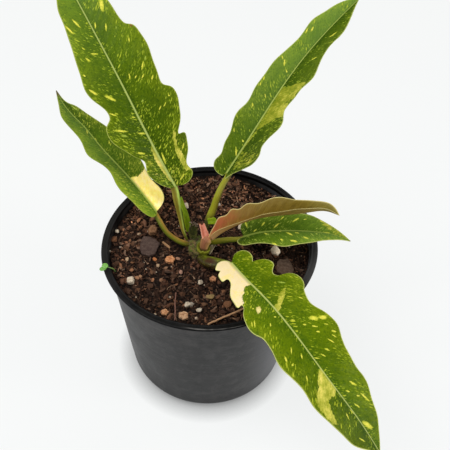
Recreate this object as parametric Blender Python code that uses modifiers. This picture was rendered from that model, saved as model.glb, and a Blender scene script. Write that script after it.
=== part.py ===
"""Potted philodendron: five long lobed leaves and one young folded leaf on their stalks, growing from a short stem in a
bark mix, in a round grow pot. Lengths are in millimetres and are scaled to metres by MM. The origin is the centre of the
pot's base, +Z is up, and -Y is the front.

The leaves are drawn in one slanting view from the front, and so is the place of each loose piece: a drawn place is
(across, down), and a drawn place with a height is one point in space. The functions carry the drawn outlines onto the
curved sheet that each blade lies in."""

import math

import bmesh
import bpy
import numpy as np
from mathutils import Matrix, Vector

MM = 0.001
NAME = "potted_philodendron"

# Pot
RIM_RADIUS = 82.5
RIM_HEIGHT = 141.2
BASE_RADIUS = 64.86
BASE_CORNER = 11.0
WALL_TOP_RADIUS = 78.8
WALL_TOP = 138.9
WALL = 1.5
LIP_TOP_WIDTH = 5.2
# The soft pot is a little out of round, more so towards its rim: what its radius gains there in mm, as waves once,
# twice and three times round it, each with its cosine and sine part, after a constant part.
OUT_OF_ROUND = (0.22, (0.55, -0.14), (0.03, 1.23), (0.28, -0.45))
ROUND_BELOW = 80.0
WALL_LEVELS = (60, 80, 92, 104, 116, 126)
FLOOR = 1.8
DRAIN_HOLES = 8
DRAIN_RADIUS = 4.5
DRAIN_CIRCLE = 47.0

# Soil
SOIL_LEVEL = 132.8
SOIL_MOUND = 1.6
SOIL_BACK_RISE = 3.5
GAP = 0.3

# Stem stub
CROWN_CENTRE = (-8.5, -3.0)
CROWN_HALF = (7.4, 9.8)
CROWN_TOP = 141.0

SHEET = 0.7  # thickness of a leaf blade
ROWS = 46
STRIPS = 3

# The view that things are drawn in: where its eye is, how far it looks down, how far it leans, its distance in its own
# units, and its middle.
EYE = np.array((11.48, -424.01, 637.29))
LOOKS_DOWN = 48.307
LEANS = -2.535
VIEW_DISTANCE = 850.0
VIEW_MIDDLE = 225.0

# Each blade: its midrib from base to tip as drawn, with a height at each point, then its margin as drawn on the left
# and right of the way it points. lift is the angle at which each half leaves the midrib and curl its change per mm,
# and twist turns both halves about the midrib.
BLADES = {
    "leaf_a_blade": dict(
        rib=[(175, 186.5, 181), (160.7, 160.7, 198), (143.5, 127.7, 219), (120.5, 82, 246), (97.6, 38.7, 270),
              (76.8, 0, 289), (55, -40, 305)],
        left=[(170.8, 188.3), (160.7, 185), (152, 179.4), (146.4, 172), (145, 162), (137.7, 158), (125, 151),
              (113.4, 143.5), (107.6, 136), (106, 127.7), (109.5, 119), (107, 112), (99.7, 105.4), (92.3, 99.7),
              (84.9, 90), (80, 76.2), (74.3, 57.5), (69.3, 40.7), (63, 23.7), (58, 11.5), (56, -2), (52, -18),
              (51, -30)],
        right=[(176.5, 185.8), (185, 183.7), (190.8, 178), (192.3, 170.8), (187.5, 164.5), (188, 152), (187.3, 139),
              (183.7, 132), (179.4, 133.4), (179.8, 122), (179.3, 105.8), (176.7, 92.9), (170.8, 85.8), (163.6, 84),
              (157.8, 73), (152, 57.4), (146.4, 41.6), (139.6, 31), (132, 24), (125.6, 23), (120.5, 18.7),
              (113.4, 8.6), (106, -2), (92, -16), (74, -30)],
        twist=(14, 14, 8), lift=(18, 14, 8), curl=-0.4),
    "leaf_b_blade": dict(
        rib=[(156.4, 212.4, 160), (129, 178, 175), (97.6, 143.5, 188), (84.7, 127.7, 193), (71.7, 114.5, 197),
              (63, 103.5, 199.5), (56.2, 90.4, 201)],
        left=[(157, 213.8), (152, 217.4), (146.4, 215), (137.7, 208), (126.8, 196), (116, 183.7), (109, 171),
              (98, 163.1), (88.5, 155.7), (83, 145), (76.6, 134.6), (67.4, 126), (61.7, 117.7), (58.8, 106),
              (57, 97)],
        right=[(157.5, 210), (160.7, 206.6), (164.3, 198), (159.3, 186.5), (150.7, 178), (145, 169), (142, 162),
              (132, 150), (118, 137), (105.5, 126), (94.7, 119), (83, 110), (74, 105), (68.5, 103), (61.5, 97)],
        twist=(-12,), lift=(16, 14, 8), curl=-0.5),
    "leaf_c_blade": dict(
        rib=[(227.9, 172, 180), (239, 155, 191), (253.7, 132, 205.5), (282.4, 87.5, 231.5), (314, 46, 255.5),
              (340, 18, 271.5), (359, -1, 281.5)],
        left=[(222.4, 175.8), (216.7, 172), (213.8, 165), (215, 160.7), (221, 154), (223.8, 143.5), (230, 132),
              (233.6, 119), (239, 110.5), (245.8, 104), (254.2, 88.4), (265, 73), (279.5, 56), (295, 41.6),
              (304, 30), (314, 18.7), (328, 10), (345.5, 0)],
        right=[(225, 179.4), (230.7, 175), (238, 171), (246.5, 167), (256.6, 160.7), (260.7, 153.9), (261.5, 149.3),
              (275.4, 132.3), (282.4, 120.5), (284, 112), (290.2, 103.4), (302.5, 89), (312.5, 77.5), (318.9, 65.1),
              (324, 54.5), (335.5, 41.6), (346.1, 27.5), (352.7, 13)],
        twist=(12, 12, 6), lift=(20, 18, 10), curl=-0.3),
    "leaf_e_blade": dict(
        rib=[(243.5, 237, 151), (259, 233, 155), (276.5, 231.3, 159), (295.7, 231, 162), (314.8, 232, 163.5),
              (334, 235, 163.5), (350.5, 241.3, 162)],
        left=[(241.5, 232), (240.5, 226), (243, 222), (252, 218.5), (268, 215), (285, 213), (300, 213), (306, 214),
              (313, 216), (320.5, 219.7), (332, 226.4), (341.6, 233)],
        right=[(239, 238.5), (237.3, 240.7), (241, 245), (251.7, 244.5), (262, 243), (270.8, 244), (282, 246.3),
              (293.8, 245.3), (307, 243.4), (320.5, 241), (334, 240), (343, 240.3)],
        twist=(0,), lift=(14, 12, 6), curl=-0.8),
    "leaf_f_blade": dict(
        rib=[(231.5, 263.5, 151), (246, 279.3, 155), (267.4, 300.9, 159), (295.7, 335, 157), (327.6, 378.3, 143),
              (359.4, 421, 123), (380, 453, 104)],
        left=[(233.2, 261.3), (233.6, 256.1), (236.5, 252.1), (242.4, 249.9), (248.3, 251.4), (252, 255.4),
              (252.7, 259.8), (253.2, 261.6), (256.4, 260.5), (263.7, 259.2), (269.6, 260.9), (274, 265.7),
              (272.9, 269.3), (274.3, 274.1), (278.4, 275.2), (285.7, 273.4), (293, 273.2), (299.6, 276),
              (304, 281.8), (304.4, 289.9), (305.5, 294.3), (310.7, 303.1), (321, 309.7), (330.7, 316), (338, 324),
              (341, 335), (348.7, 353.6), (355.4, 365.1), (364, 375.9), (369.1, 387.4), (372.8, 401.7), (377, 416.3),
              (379.1, 428.9), (380, 442)],
        right=[(231.4, 262), (224.8, 260.8), (218.9, 262.7), (216, 267.1), (216.4, 270.8), (219.7, 271.2),
              (218.6, 274.5), (219.7, 278.9), (223, 282), (227, 279.6), (230, 281.8), (230.7, 285.5), (230, 291.4),
              (231, 298), (234.3, 303.8), (238.7, 307.9), (241.7, 305.3), (243.2, 307.1), (243.3, 313.4),
              (245, 322.2), (249, 329.5), (255.6, 335), (262.2, 338.3), (267.4, 344.2), (272.5, 352.3), (279.7, 367),
              (291, 378), (303.6, 391), (311.6, 403.8), (328.3, 422.3), (341.2, 434.2), (353, 445), (366, 450)],
        twist=(0,), lift=(10, 8, 4), curl=-0.5),
    "young_leaf_blade": dict(
        rib=[(211.5, 240, 150), (219, 234, 155), (234.4, 225.4, 163), (257.4, 217.7, 171), (286, 214.2, 179),
              (308.7, 211.8, 184), (325, 210.5, 184), (339.3, 215.6, 180)],
        left=[(208.5, 237), (210.5, 232), (214.8, 224.4), (220, 216.8), (225.8, 215), (232.5, 208.7), (238, 209),
              (246, 204), (256.4, 203.4), (269, 199), (281, 197), (294.7, 199.4), (305, 200), (318.6, 201),
              (331, 204)],
        right=[(210.5, 236.5), (216, 231.5), (225.5, 227), (236, 223.5), (246, 220.2), (257, 216.3), (271, 213.2),
              (287.6, 210.5), (300.3, 208.7), (310.8, 208.1), (321.3, 208.1), (331, 210.5)],
        twist=(0,), lift_left=(60, 68, 74, 74, 70), lift_right=(64, 54, 52, 54, 58, 60, 60), curl=0.0),
}

# Small sheets: their middle line as drawn, with heights, and their half widths in mm at distances along it.
SHEETS = {
    "young_leaf_lobe": dict(
        rib=[(213.5, 237, 152.4), (208, 234, 152.6), (204, 229.5, 154), (201.5, 223, 156.4)],
        left=[(0, 1.6), (3, 2.6), (7, 3.2), (11, 2.4), (13, 1.2)],
        right=[(0, 1.6), (3, 2.8), (7, 3.4), (11, 3.0), (13, 1.6)],
        twist=(0,), lift=(20,), curl=-2.0),
    "leaf_a_sheath": dict(
        rib=[(189, 231, 142.8), (187.8, 222, 150), (185.6, 213, 157.3), (183.2, 205, 163.8), (180.9, 197, 169.7)],
        left=[(0, 1.2), (6, 1.9), (14, 1.7), (22, 1.2), (34, 0.5)],
        right=[(0, 1.6), (6, 2.2), (14, 2.0), (22, 1.3), (34, 0.5)],
        twist=(-12,), lift=(12,), curl=-1.5),
    "leaf_c_sheath": dict(
        rib=[(207.8, 221.6, 156.2), (212, 220.8, 156.8), (216.3, 219.8, 157)],
        left=[(0, 0.9), (2, 1.7), (4.5, 1.9), (6.5, 1.2)],
        right=[(0, 0.9), (2, 1.9), (4.5, 2.0), (6.5, 1.2)],
        twist=(-50,), lift=(10,), curl=-2.0),
    "dry_sheath": dict(
        rib=[(193.4, 238.5, 142.6), (193.2, 230, 147.2), (193.8, 221.8, 152)],
        left=[(0, 2.8), (4, 3.6), (8, 3.4), (11, 2.4), (13, 1.2)],
        right=[(0, 2.4), (4, 3.2), (8, 3.4), (11, 2.6), (13, 1.2)],
        twist=(0,), lift=(16,), curl=-3.0),
}

# Each stalk: the line it follows from the stem to the blade, as drawn with heights, and its radius in mm at the start,
# the middle and the end.
STALKS = {
    "leaf_a_stalk": ([(186.5, 238.5, 139.2), (184, 233, 144), (181.5, 222, 151), (179, 210, 160), (177, 200, 169), (176, 191, 177)], (2.3, 2.4, 2.1)),
    "leaf_b_stalk": ([(187.5, 244, 138.8), (182, 242.4, 140.8), (175, 238.8, 144), (167, 232.4, 148.4), (161.5, 224.5, 153.6), (158.5, 217, 157.4)], (2.7, 2.4, 1.9)),
    "leaf_c_stalk": ([(203.5, 235.5, 142.6), (204.3, 232.5, 144.6), (205.7, 228.5, 147.4), (208.8, 220, 153), (213.7, 207.5, 161), (219.5, 191.5, 171), (224, 180, 177)], (3.3, 2.7, 1.9)),
    "young_leaf_stalk": ([(203, 248.7, 142), (203.2, 246.6, 143.8), (204.6, 243.6, 146), (206.6, 241.2, 147.6)], (2.8, 3.1, 3.1)),
    "leaf_e_stalk": ([(210, 242.5, 141.8), (217, 241.5, 144.6), (227, 240, 148), (236.5, 238, 150.2)], (2.3, 2.0, 1.5)),
    "leaf_f_stalk": ([(201, 257.6, 138.6), (203, 259.8, 139.3), (208, 262.2, 141.2), (215, 263.8, 144.1), (222.5, 264.8, 147)], (3.1, 3.6, 2.4)),
}

# Loose pieces on the soil: the drawn place of each, then its size in mm. A chip has half its length and width, its
# thickness, its turn and how many sides its outline has.
PERLITE = [(274.8, 252.6, 7.4), (241.5, 228.4, 5.6), (186, 208, 4.6), (130.6, 281, 6.2), (187.6, 305, 5.2), (199, 310.5, 4.8), (117.4, 231.3, 3.8), (200, 283, 4.2)]
CHIPS = {
    "bark_chip_large": (149.8, 247.3, 8.0, 10.2, 2.2, 20, 7),
    "bark_chip_right": (284, 266, 8.2, 8.6, 2.2, -15, 6),
    "bark_chip_brown": (152.7, 231, 4.6, 3.6, 4.4, 70, 6),
    "bark_chip_orange": (170, 260, 3.8, 3.5, 2.4, 10, 6),
    "bark_chip_tan": (183.5, 315.5, 3.9, 3.4, 2.6, -30, 6),
    "bark_chip_small": (164.5, 312, 3.0, 2.7, 2.2, 5, 5),
    "bark_chip_centre": (213, 278.7, 2.9, 2.6, 2.2, 25, 5),
}
TWIG = ([(207.5, 324.5, 135.2), (224.5, 317, 135.8), (241.5, 309.5, 136.8), (252.5, 303.5, 137.8)], 0.75)
STRAW = ([(176, 292.5, 134.4), (175.2, 302.5, 134.3), (175.3, 312.5, 134.4), (175, 320.5, 134.6)], 0.5)
WEED_STEM = [(115, 271.8, 134.2), (114.6, 270.2, 138.5), (111.9, 268.3, 143.2), (106.4, 266.7, 146.8)]
WEED_LEAVES = [(105, 265.9, 147.5, 2.4, 1.0, 0), (103, 268.5, 146.7, 1.9, 1.5, 36)]

COLOURS = {
    "pot": ((0.060, 0.060, 0.064), 0.5),
    "soil": ((0.045, 0.026, 0.018), 0.95),
    "leaf": ((0.105, 0.215, 0.012), 0.42),
    "young": ((0.230, 0.160, 0.030), 0.5),
    "stalk": ((0.190, 0.230, 0.018), 0.45),
    "young_stalk": ((0.330, 0.150, 0.075), 0.5),
    "sheath": ((0.120, 0.200, 0.012), 0.5),
    "dry": ((0.300, 0.270, 0.200), 0.8),
    "stem": ((0.110, 0.120, 0.025), 0.7),
    "weed": ((0.180, 0.480, 0.080), 0.5),
    "perlite": ((0.720, 0.660, 0.560), 0.9),
    "bark": ((0.110, 0.075, 0.060), 0.85),
    "light_bark": ((0.500, 0.270, 0.130), 0.85),
    "straw": ((0.360, 0.200, 0.100), 0.8),
}


def unlinked(obj):
    """The object taken out of the collection it was made in."""
    for owner in list(obj.users_collection):
        owner.objects.unlink(obj)
    return obj


def cleared_scene():
    for thing in list(bpy.data.objects):
        bpy.data.objects.remove(thing, do_unlink=True)


def collection(name):
    made = bpy.data.collections.new(name)
    bpy.context.scene.collection.children.link(made)
    return made


def material(name, colour, roughness, metallic=0.0):
    made = bpy.data.materials.new(name)
    made.use_nodes = True
    shader = made.node_tree.nodes["Principled BSDF"]
    shader.inputs["Base Color"].default_value = (*colour, 1)
    shader.inputs["Roughness"].default_value = roughness
    shader.inputs["Metallic"].default_value = metallic
    return made


def placed(obj, kind):
    """The object in the part's collection and under its root, with a material of its own."""
    PARTS.objects.link(obj)
    obj.parent = ROOT
    obj.data.materials.clear()
    colour, roughness = COLOURS[kind]
    obj.data.materials.append(material(obj.name + "_material", colour, roughness))
    return obj


def as_mesh(obj):
    """A mesh object of what this object's curve or modifiers make, in its place."""
    bpy.context.scene.collection.objects.link(obj)
    bpy.context.view_layer.update()
    seen = obj.evaluated_get(bpy.context.evaluated_depsgraph_get())
    mesh = bpy.data.meshes.new_from_object(seen)
    made = bpy.data.objects.new(obj.name + "_mesh", mesh)
    made.matrix_world = obj.matrix_world
    name = obj.name
    bpy.data.objects.remove(obj, do_unlink=True)
    made.name = name
    work = bmesh.new()
    work.from_mesh(mesh)
    bmesh.ops.remove_doubles(work, verts=work.verts, dist=0.01 * MM)
    bmesh.ops.recalc_face_normals(work, faces=work.faces)
    work.to_mesh(mesh)
    work.free()
    return made


def turned(name, profile, steps):
    """A solid turned about Z from a profile of (radius, height) that starts and ends on the axis."""
    mesh = bpy.data.meshes.new(name)
    mesh.from_pydata([(r * MM, 0, z * MM) for r, z in profile], [(i, i + 1) for i in range(len(profile) - 1)], [])
    obj = bpy.data.objects.new(name, mesh)
    screw = obj.modifiers.new("turn", "SCREW")
    screw.axis = "Z"
    screw.steps = screw.render_steps = steps
    screw.use_merge_vertices = True
    screw.merge_threshold = 0.00001
    screw.use_smooth_shade = True
    return obj


def arc(centre, radius, start, end, count):
    turn = np.radians(np.linspace(start, end, count))
    return [(centre[0] + radius * math.cos(a), centre[1] + radius * math.sin(a)) for a in turn]


def spline(points, count):
    """Even steps along a natural cubic curve through the points, and the curve's length."""
    p = np.array(points, float)
    t = np.concatenate([[0], np.cumsum(np.linalg.norm(np.diff(p, axis=0), axis=1))])
    n, h = len(p), np.diff(t)
    matrix, right = np.eye(n), np.zeros_like(p)
    for i in range(1, n - 1):
        matrix[i, i - 1:i + 2] = h[i - 1], 2 * (h[i - 1] + h[i]), h[i]
        right[i] = 6 * ((p[i + 1] - p[i]) / h[i] - (p[i] - p[i - 1]) / h[i - 1])
    m = np.linalg.solve(matrix, right)
    f = np.linspace(0, t[-1], 600)
    i = np.clip(np.searchsorted(t, f, side="right") - 1, 0, n - 2)
    a = ((t[i + 1] - f) / h[i])[:, None]
    b, step = 1 - a, h[i][:, None]
    q = a * p[i] + b * p[i + 1] + ((a**3 - a) * m[i] + (b**3 - b) * m[i + 1]) * step**2 / 6
    gone = np.concatenate([[0], np.cumsum(np.linalg.norm(np.diff(q, axis=0), axis=1))])
    at = np.linspace(0, gone[-1], count)
    return np.stack([np.interp(at, gone, q[:, j]) for j in range(p.shape[1])], 1), gone[-1]


def view_axes():
    """The view's own directions in space: across, up and ahead."""
    down, lean = math.radians(LOOKS_DOWN), math.radians(LEANS)
    across, up = np.array((1.0, 0, 0)), np.array((0, math.sin(down), math.cos(down)))
    ahead = np.array((0, math.cos(down), -math.sin(down)))
    return across * math.cos(lean) - up * math.sin(lean), across * math.sin(lean) + up * math.cos(lean), ahead


def drawn_place(points):
    """Where points in space are drawn."""
    across, up, ahead = view_axes()
    reach = points - EYE
    scale = VIEW_DISTANCE / (reach @ ahead)
    return np.stack([VIEW_MIDDLE + scale * (reach @ across), VIEW_MIDDLE - scale * (reach @ up)], -1)


def in_space(x, y, z):
    """The point at height z that is drawn at (x, y)."""
    across, up, ahead = view_axes()
    sight = VIEW_DISTANCE * ahead + (x - VIEW_MIDDLE) * across + (VIEW_MIDDLE - y) * up
    return EYE + sight * (z - EYE[2]) / sight[2]


def ramp(x, values):
    return np.interp(x, np.linspace(0, 1, len(values)), values)


class Surface:
    """The sheet that a blade lies in: distances along and out from the midrib become points in space."""

    def __init__(self, rib, twist, lift_left, lift_right, curl):
        self.line, self.length = spline([in_space(*point) for point in rib], 241)
        self.along = np.linspace(0, self.length, 241)
        tangent = np.gradient(self.line, axis=0)
        self.tangent = tangent / np.linalg.norm(tangent, axis=1)[:, None]
        out = np.cross(self.tangent, (0, 0, 1.0))
        out /= np.linalg.norm(out, axis=1)[:, None]
        face = np.cross(out, self.tangent)
        turn = np.radians(ramp(self.along / self.length, twist))[:, None]
        self.out = out * np.cos(turn) + face * np.sin(turn)
        self.face = face * np.cos(turn) - out * np.sin(turn)
        self.lift = {-1: lift_left, 1: lift_right}
        self.curl = math.radians(curl) or 1e-6

    def at(self, along, away, side):
        on = np.clip(along, 0, self.length)
        line, tangent, out, face = (
            np.stack([np.interp(on, self.along, v[:, j]) for j in range(3)], 1)
            for v in (self.line, self.tangent, self.out, self.face)
        )
        lift = np.radians(ramp(on / self.length, self.lift[side]))
        end = lift + self.curl * away
        across = (np.sin(end) - np.sin(lift)) / self.curl
        up = (np.cos(lift) - np.cos(end)) / self.curl
        return line + tangent * (along - on)[:, None] + out * (side * across)[:, None] + face * up[:, None]

    def stations(self, outline, side):
        """Distances along and out from the midrib at which this half's sheet is drawn at each place of the outline."""
        along, away = (v.ravel() for v in np.meshgrid(np.arange(-14, self.length + 5, 2), np.arange(0.5, 50, 1.5)))
        seen = drawn_place(self.at(along, away, side))
        found = [np.array((0.0, 2.0))]
        for place in outline:
            step = (along - found[-1][0]) ** 2 + (away - found[-1][1]) ** 2
            k = (((seen - place) ** 2).sum(1) + 0.003 * step).argmin()
            spot = np.array((along[k], away[k]))
            for _ in range(12):
                tries = drawn_place(self.at(spot[0] + np.array((0, 0.1, 0)), spot[1] + np.array((0, 0, 0.1)), side))
                slope = (tries[1:] - tries[0]).T / 0.1
                move = np.linalg.solve(slope.T @ slope + 0.01 * np.eye(2), slope.T @ (place - tries[0]))
                spot = np.maximum(spot + np.clip(move, -3, 3), (-30, 0.3))
            found.append(spot)
        return found[1:]


def margin(stations, length, rows):
    """The margin on one side, in even steps, ending at the tip."""
    return spline(list(stations) + [(length, 0.3)], rows)[0]


def blade(name, rows, strips, thickness):
    """An open sheet between the two margins with the midrib in its middle, thickened by Solidify."""
    spec = BLADES[name] if name in BLADES else SHEETS[name]
    lifts = spec.get("lift_left", spec.get("lift")), spec.get("lift_right", spec.get("lift"))
    surface = Surface(spec["rib"], spec["twist"], *lifts, spec["curl"])
    sides = {-1: spec["left"], 1: spec["right"]}
    if name in BLADES:
        sides = {side: surface.stations(outline, side) for side, outline in sides.items()}
    sides = {side: margin(stations, surface.length, rows) for side, stations in sides.items()}
    wanted = sum(np.clip(s[:, 0] - 0.35 * s[:, 1], 0, surface.length) for s in sides.values()) / 2
    share = np.linspace(0, 1, rows)
    middle = 0.96 * np.maximum.accumulate(wanted) + 0.04 * share * surface.length
    middle += share * (surface.length - middle[-1])
    columns = []
    for side in (-1, 1):
        edge = sides[side]
        for k in range(strips, 0, -1) if side < 0 else range(1, strips + 1):
            f = k / strips
            along = middle * (1 - f) + edge[:, 0] * f
            columns.append(surface.at(along, np.maximum(edge[:, 1], 0.25) * f, side))
        if side < 0:
            columns.append(surface.at(middle, np.zeros(rows), 1))
    grid = np.stack(columns, 1) * MM
    wide = grid.shape[1]
    faces = [
        (r * wide + c, r * wide + c + 1, (r + 1) * wide + c + 1, (r + 1) * wide + c)
        for r in range(rows - 1)
        for c in range(wide - 1)
    ]
    mesh = bpy.data.meshes.new(name)
    mesh.from_pydata(grid.reshape(-1, 3).tolist(), [], faces)
    mesh.shade_smooth()
    obj = bpy.data.objects.new(name, mesh)
    sheet = obj.modifiers.new("thickness", "SOLIDIFY")
    sheet.thickness = thickness * MM
    sheet.offset = 0
    return obj


def stalk(name, points, radii, count, resolution=2):
    """A filled tube along a smooth line, whose radius changes from its start to its end."""
    line, _ = spline([in_space(*point) for point in points], count)
    curve = bpy.data.curves.new(name, "CURVE")
    curve.dimensions = "3D"
    curve.bevel_depth = MM
    curve.bevel_resolution = resolution
    curve.use_fill_caps = True
    run = curve.splines.new("POLY")
    run.points.add(count - 1)
    for i, (point, radius) in enumerate(zip(line, ramp(np.linspace(0, 1, count), radii))):
        run.points[i].co = (*(point * MM), 1)
        run.points[i].radius = radius
    run.use_smooth = True
    return bpy.data.objects.new(name, curve)


def ground(x, y):
    """Height of the soil."""
    mound = SOIL_MOUND * np.exp(-((x - CROWN_CENTRE[0]) ** 2 + (y - CROWN_CENTRE[1]) ** 2) / 800)
    t = np.clip((y - 10) / 65, 0, 1)
    back = SOIL_BACK_RISE * t * t * (3 - 2 * t)
    return SOIL_LEVEL + mound + back + 0.3 * np.sin(x / 9 + 1) * np.cos(y / 11)


def highest_ground(x, y, reach):
    turn = np.linspace(0, 2 * math.pi, 17)
    return max(float(ground(x + r * reach * np.cos(turn), y + r * reach * np.sin(turn)).max()) for r in (0, 0.5, 1))


def pot_wall(z):
    """Outer radius of the pot's wall."""
    return BASE_RADIUS + (WALL_TOP_RADIUS - BASE_RADIUS) * (z - BASE_CORNER) / (WALL_TOP - BASE_CORNER)


def out_of_round(obj):
    """Bring a turned object to the pot's true outline."""
    for vertex in obj.data.vertices:
        x, y, z = vertex.co
        share = min(max((z / MM - ROUND_BELOW) / (RIM_HEIGHT - ROUND_BELOW), 0), 1) ** 1.5
        radius, turn = math.hypot(x, y), math.atan2(y, x)
        if share == 0 or radius < 1 * MM:
            continue
        gain = OUT_OF_ROUND[0] + sum(
            c * math.cos((i + 1) * turn) + s * math.sin((i + 1) * turn) for i, (c, s) in enumerate(OUT_OF_ROUND[1:]))
        grown = 1 + share * gain * MM / (RIM_RADIUS * MM)
        vertex.co = (x * grown, y * grown, z)
    return obj


def make_pot():
    profile = [(0, FLOOR), (DRAIN_CIRCLE - 8, FLOOR), (56.5, FLOOR)]
    profile += [(pot_wall(z) - WALL, z) for z in (BASE_CORNER, *WALL_LEVELS, WALL_TOP)]
    inner = RIM_RADIUS - LIP_TOP_WIDTH
    profile += [(inner, RIM_HEIGHT - 0.5), (inner + 0.5, RIM_HEIGHT), (RIM_RADIUS - 0.6, RIM_HEIGHT), (RIM_RADIUS, RIM_HEIGHT - 0.6)]
    profile += [(RIM_RADIUS, WALL_TOP + 0.8), (RIM_RADIUS - 0.4, WALL_TOP + 0.4), (WALL_TOP_RADIUS + 0.4, WALL_TOP + 0.3)]
    profile += [(pot_wall(z), z) for z in (WALL_TOP - 4, *WALL_LEVELS[::-1])]
    profile += arc((BASE_RADIUS - BASE_CORNER, BASE_CORNER), BASE_CORNER, 0, -90, 9)
    profile += [(DRAIN_CIRCLE - 8, 0), (0, 0)]
    pot = placed(out_of_round(as_mesh(turned("pot", profile, 72))), "pot")
    for i in range(DRAIN_HOLES):
        turn = 2 * math.pi * (i + 0.5) / DRAIN_HOLES
        bpy.ops.mesh.primitive_cylinder_add(
            vertices=16, radius=DRAIN_RADIUS * MM, depth=10 * MM,
            location=(DRAIN_CIRCLE * MM * math.cos(turn), DRAIN_CIRCLE * MM * math.sin(turn), FLOOR / 2 * MM))
        cutter = unlinked(bpy.context.object)
        cutter.name = f"drain_cutter_{i + 1}"
        CUTTERS.objects.link(cutter)
        cutter.hide_render = True
        cutter.display_type = "WIRE"
        cut = pot.modifiers.new(f"drain_{i + 1}", "BOOLEAN")
        cut.operation = "DIFFERENCE"
        cut.solver = "EXACT"
        cut.object = cutter


def make_soil():
    def wall(z):
        return pot_wall(z) - WALL - GAP
    rings = [(r, SOIL_LEVEL) for r in (0, 9, 18, 27, 36, 45, 54, 63, 71)]
    profile = rings + [(wall(SOIL_LEVEL) - 0.3, SOIL_LEVEL), *((wall(z), z) for z in WALL_LEVELS[::-1]), (wall(BASE_CORNER + 0.5), BASE_CORNER + 0.5), (56.0, FLOOR + GAP), (0, FLOOR + GAP)]
    soil = out_of_round(as_mesh(turned("soil", profile, 72)))
    for vertex in soil.data.vertices:
        if vertex.co.z > (SOIL_LEVEL - 1) * MM:
            vertex.co.z = float(ground(vertex.co.x / MM, vertex.co.y / MM)) * MM
    placed(soil, "soil")


def make_stem():
    bottom = highest_ground(*CROWN_CENTRE, max(CROWN_HALF)) + GAP
    height = CROWN_TOP - bottom
    bpy.ops.mesh.primitive_cylinder_add(vertices=20, radius=MM, depth=height * MM)
    stem = unlinked(bpy.context.object)
    stem.name = stem.data.name = "stem"
    stem.data.transform(Matrix.Diagonal((CROWN_HALF[0], CROWN_HALF[1], 1, 1)))
    stem.location = Vector((CROWN_CENTRE[0], CROWN_CENTRE[1], bottom + height / 2)) * MM
    round_off = stem.modifiers.new("round", "BEVEL")
    round_off.width = 1.6 * MM
    round_off.segments = 3
    round_off.limit_method = "ANGLE"
    round_off.angle_limit = math.radians(50)
    placed(stem, "stem")
    # The open sheath that the young leaf's stalk stands in
    ring = [(4.1, 142.2), (4.2, 144.8), (4.9, 145.0), (5.1, 142.2)]
    mesh = bpy.data.meshes.new("young_leaf_sheath")
    mesh.from_pydata([(r * MM, 0, (z - 142.2) * MM) for r, z in ring], [(0, 1), (1, 2), (2, 3), (3, 0)], [])
    sheath = bpy.data.objects.new("young_leaf_sheath", mesh)
    screw = sheath.modifiers.new("turn", "SCREW")
    screw.steps = screw.render_steps = 20
    screw.use_merge_vertices = True
    screw.merge_threshold = 0.00001
    sheath = as_mesh(sheath)
    sheath.location = Vector((-4.2, -7.8, CROWN_TOP + GAP)) * MM
    placed(sheath, "sheath")


def make_leaves():
    for name in ("leaf_a_blade", "leaf_b_blade", "leaf_c_blade", "leaf_e_blade", "leaf_f_blade"):
        placed(blade(name, ROWS, STRIPS, SHEET), "leaf")
    young = as_mesh(blade("young_leaf_blade", 34, STRIPS, SHEET))
    lobe = as_mesh(blade("young_leaf_lobe", 10, 2, SHEET))
    CUTTERS.objects.link(lobe)
    lobe.hide_render = True
    lobe.display_type = "WIRE"
    placed(young, "young")
    join = young.modifiers.new("lobe", "BOOLEAN")
    join.operation = "UNION"
    join.solver = "EXACT"
    join.object = lobe
    placed(blade("leaf_a_sheath", 12, 2, 0.9), "sheath")
    placed(blade("leaf_c_sheath", 7, 2, 0.9), "sheath")
    placed(blade("dry_sheath", 7, 2, 0.5), "dry")
    for name, (points, radii) in STALKS.items():
        placed(stalk(name, points, radii, 9), "young_stalk" if name.startswith("young") else "stalk")


def on_ground(x, y):
    """Distances across and along of the drawn place on the soil."""
    return in_space(x, y, SOIL_LEVEL + 2)[:2]


def make_granule(name, x, y, size, seed):
    x, y = on_ground(x, y)
    bpy.ops.mesh.primitive_ico_sphere_add(subdivisions=2, radius=size / 2 * MM)
    grain = unlinked(bpy.context.object)
    grain.name = grain.data.name = name
    random = np.random.default_rng(seed)
    stretch = 1 + random.uniform(-0.12, 0.12, 3)
    for vertex in grain.data.vertices:
        vertex.co = Vector([c * s for c, s in zip(vertex.co, stretch)]) * float(1 + random.uniform(-0.1, 0.06))
    low = min(v.co.z for v in grain.data.vertices)
    grain.location = (x * MM, y * MM, (highest_ground(x, y, size / 2) + GAP) * MM - low)
    placed(grain, "perlite")


def make_chip(name, x, y, half_long, half_wide, thick, turn, sides):
    x, y = on_ground(x, y)
    bpy.ops.mesh.primitive_cylinder_add(vertices=sides, radius=MM, depth=thick * MM)
    chip = unlinked(bpy.context.object)
    chip.name = chip.data.name = name
    chip.data.transform(Matrix.Diagonal((half_long, half_wide, 1, 1)))
    chip.rotation_euler = (0, 0, math.radians(turn))
    chip.location = Vector((x, y, highest_ground(x, y, max(half_long, half_wide)) + GAP + thick / 2)) * MM
    worn = chip.modifiers.new("worn", "BEVEL")
    worn.width = 0.5 * MM
    worn.segments = 1
    placed(chip, "bark" if thick < 2.3 and half_long > 5 else "light_bark")


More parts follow.
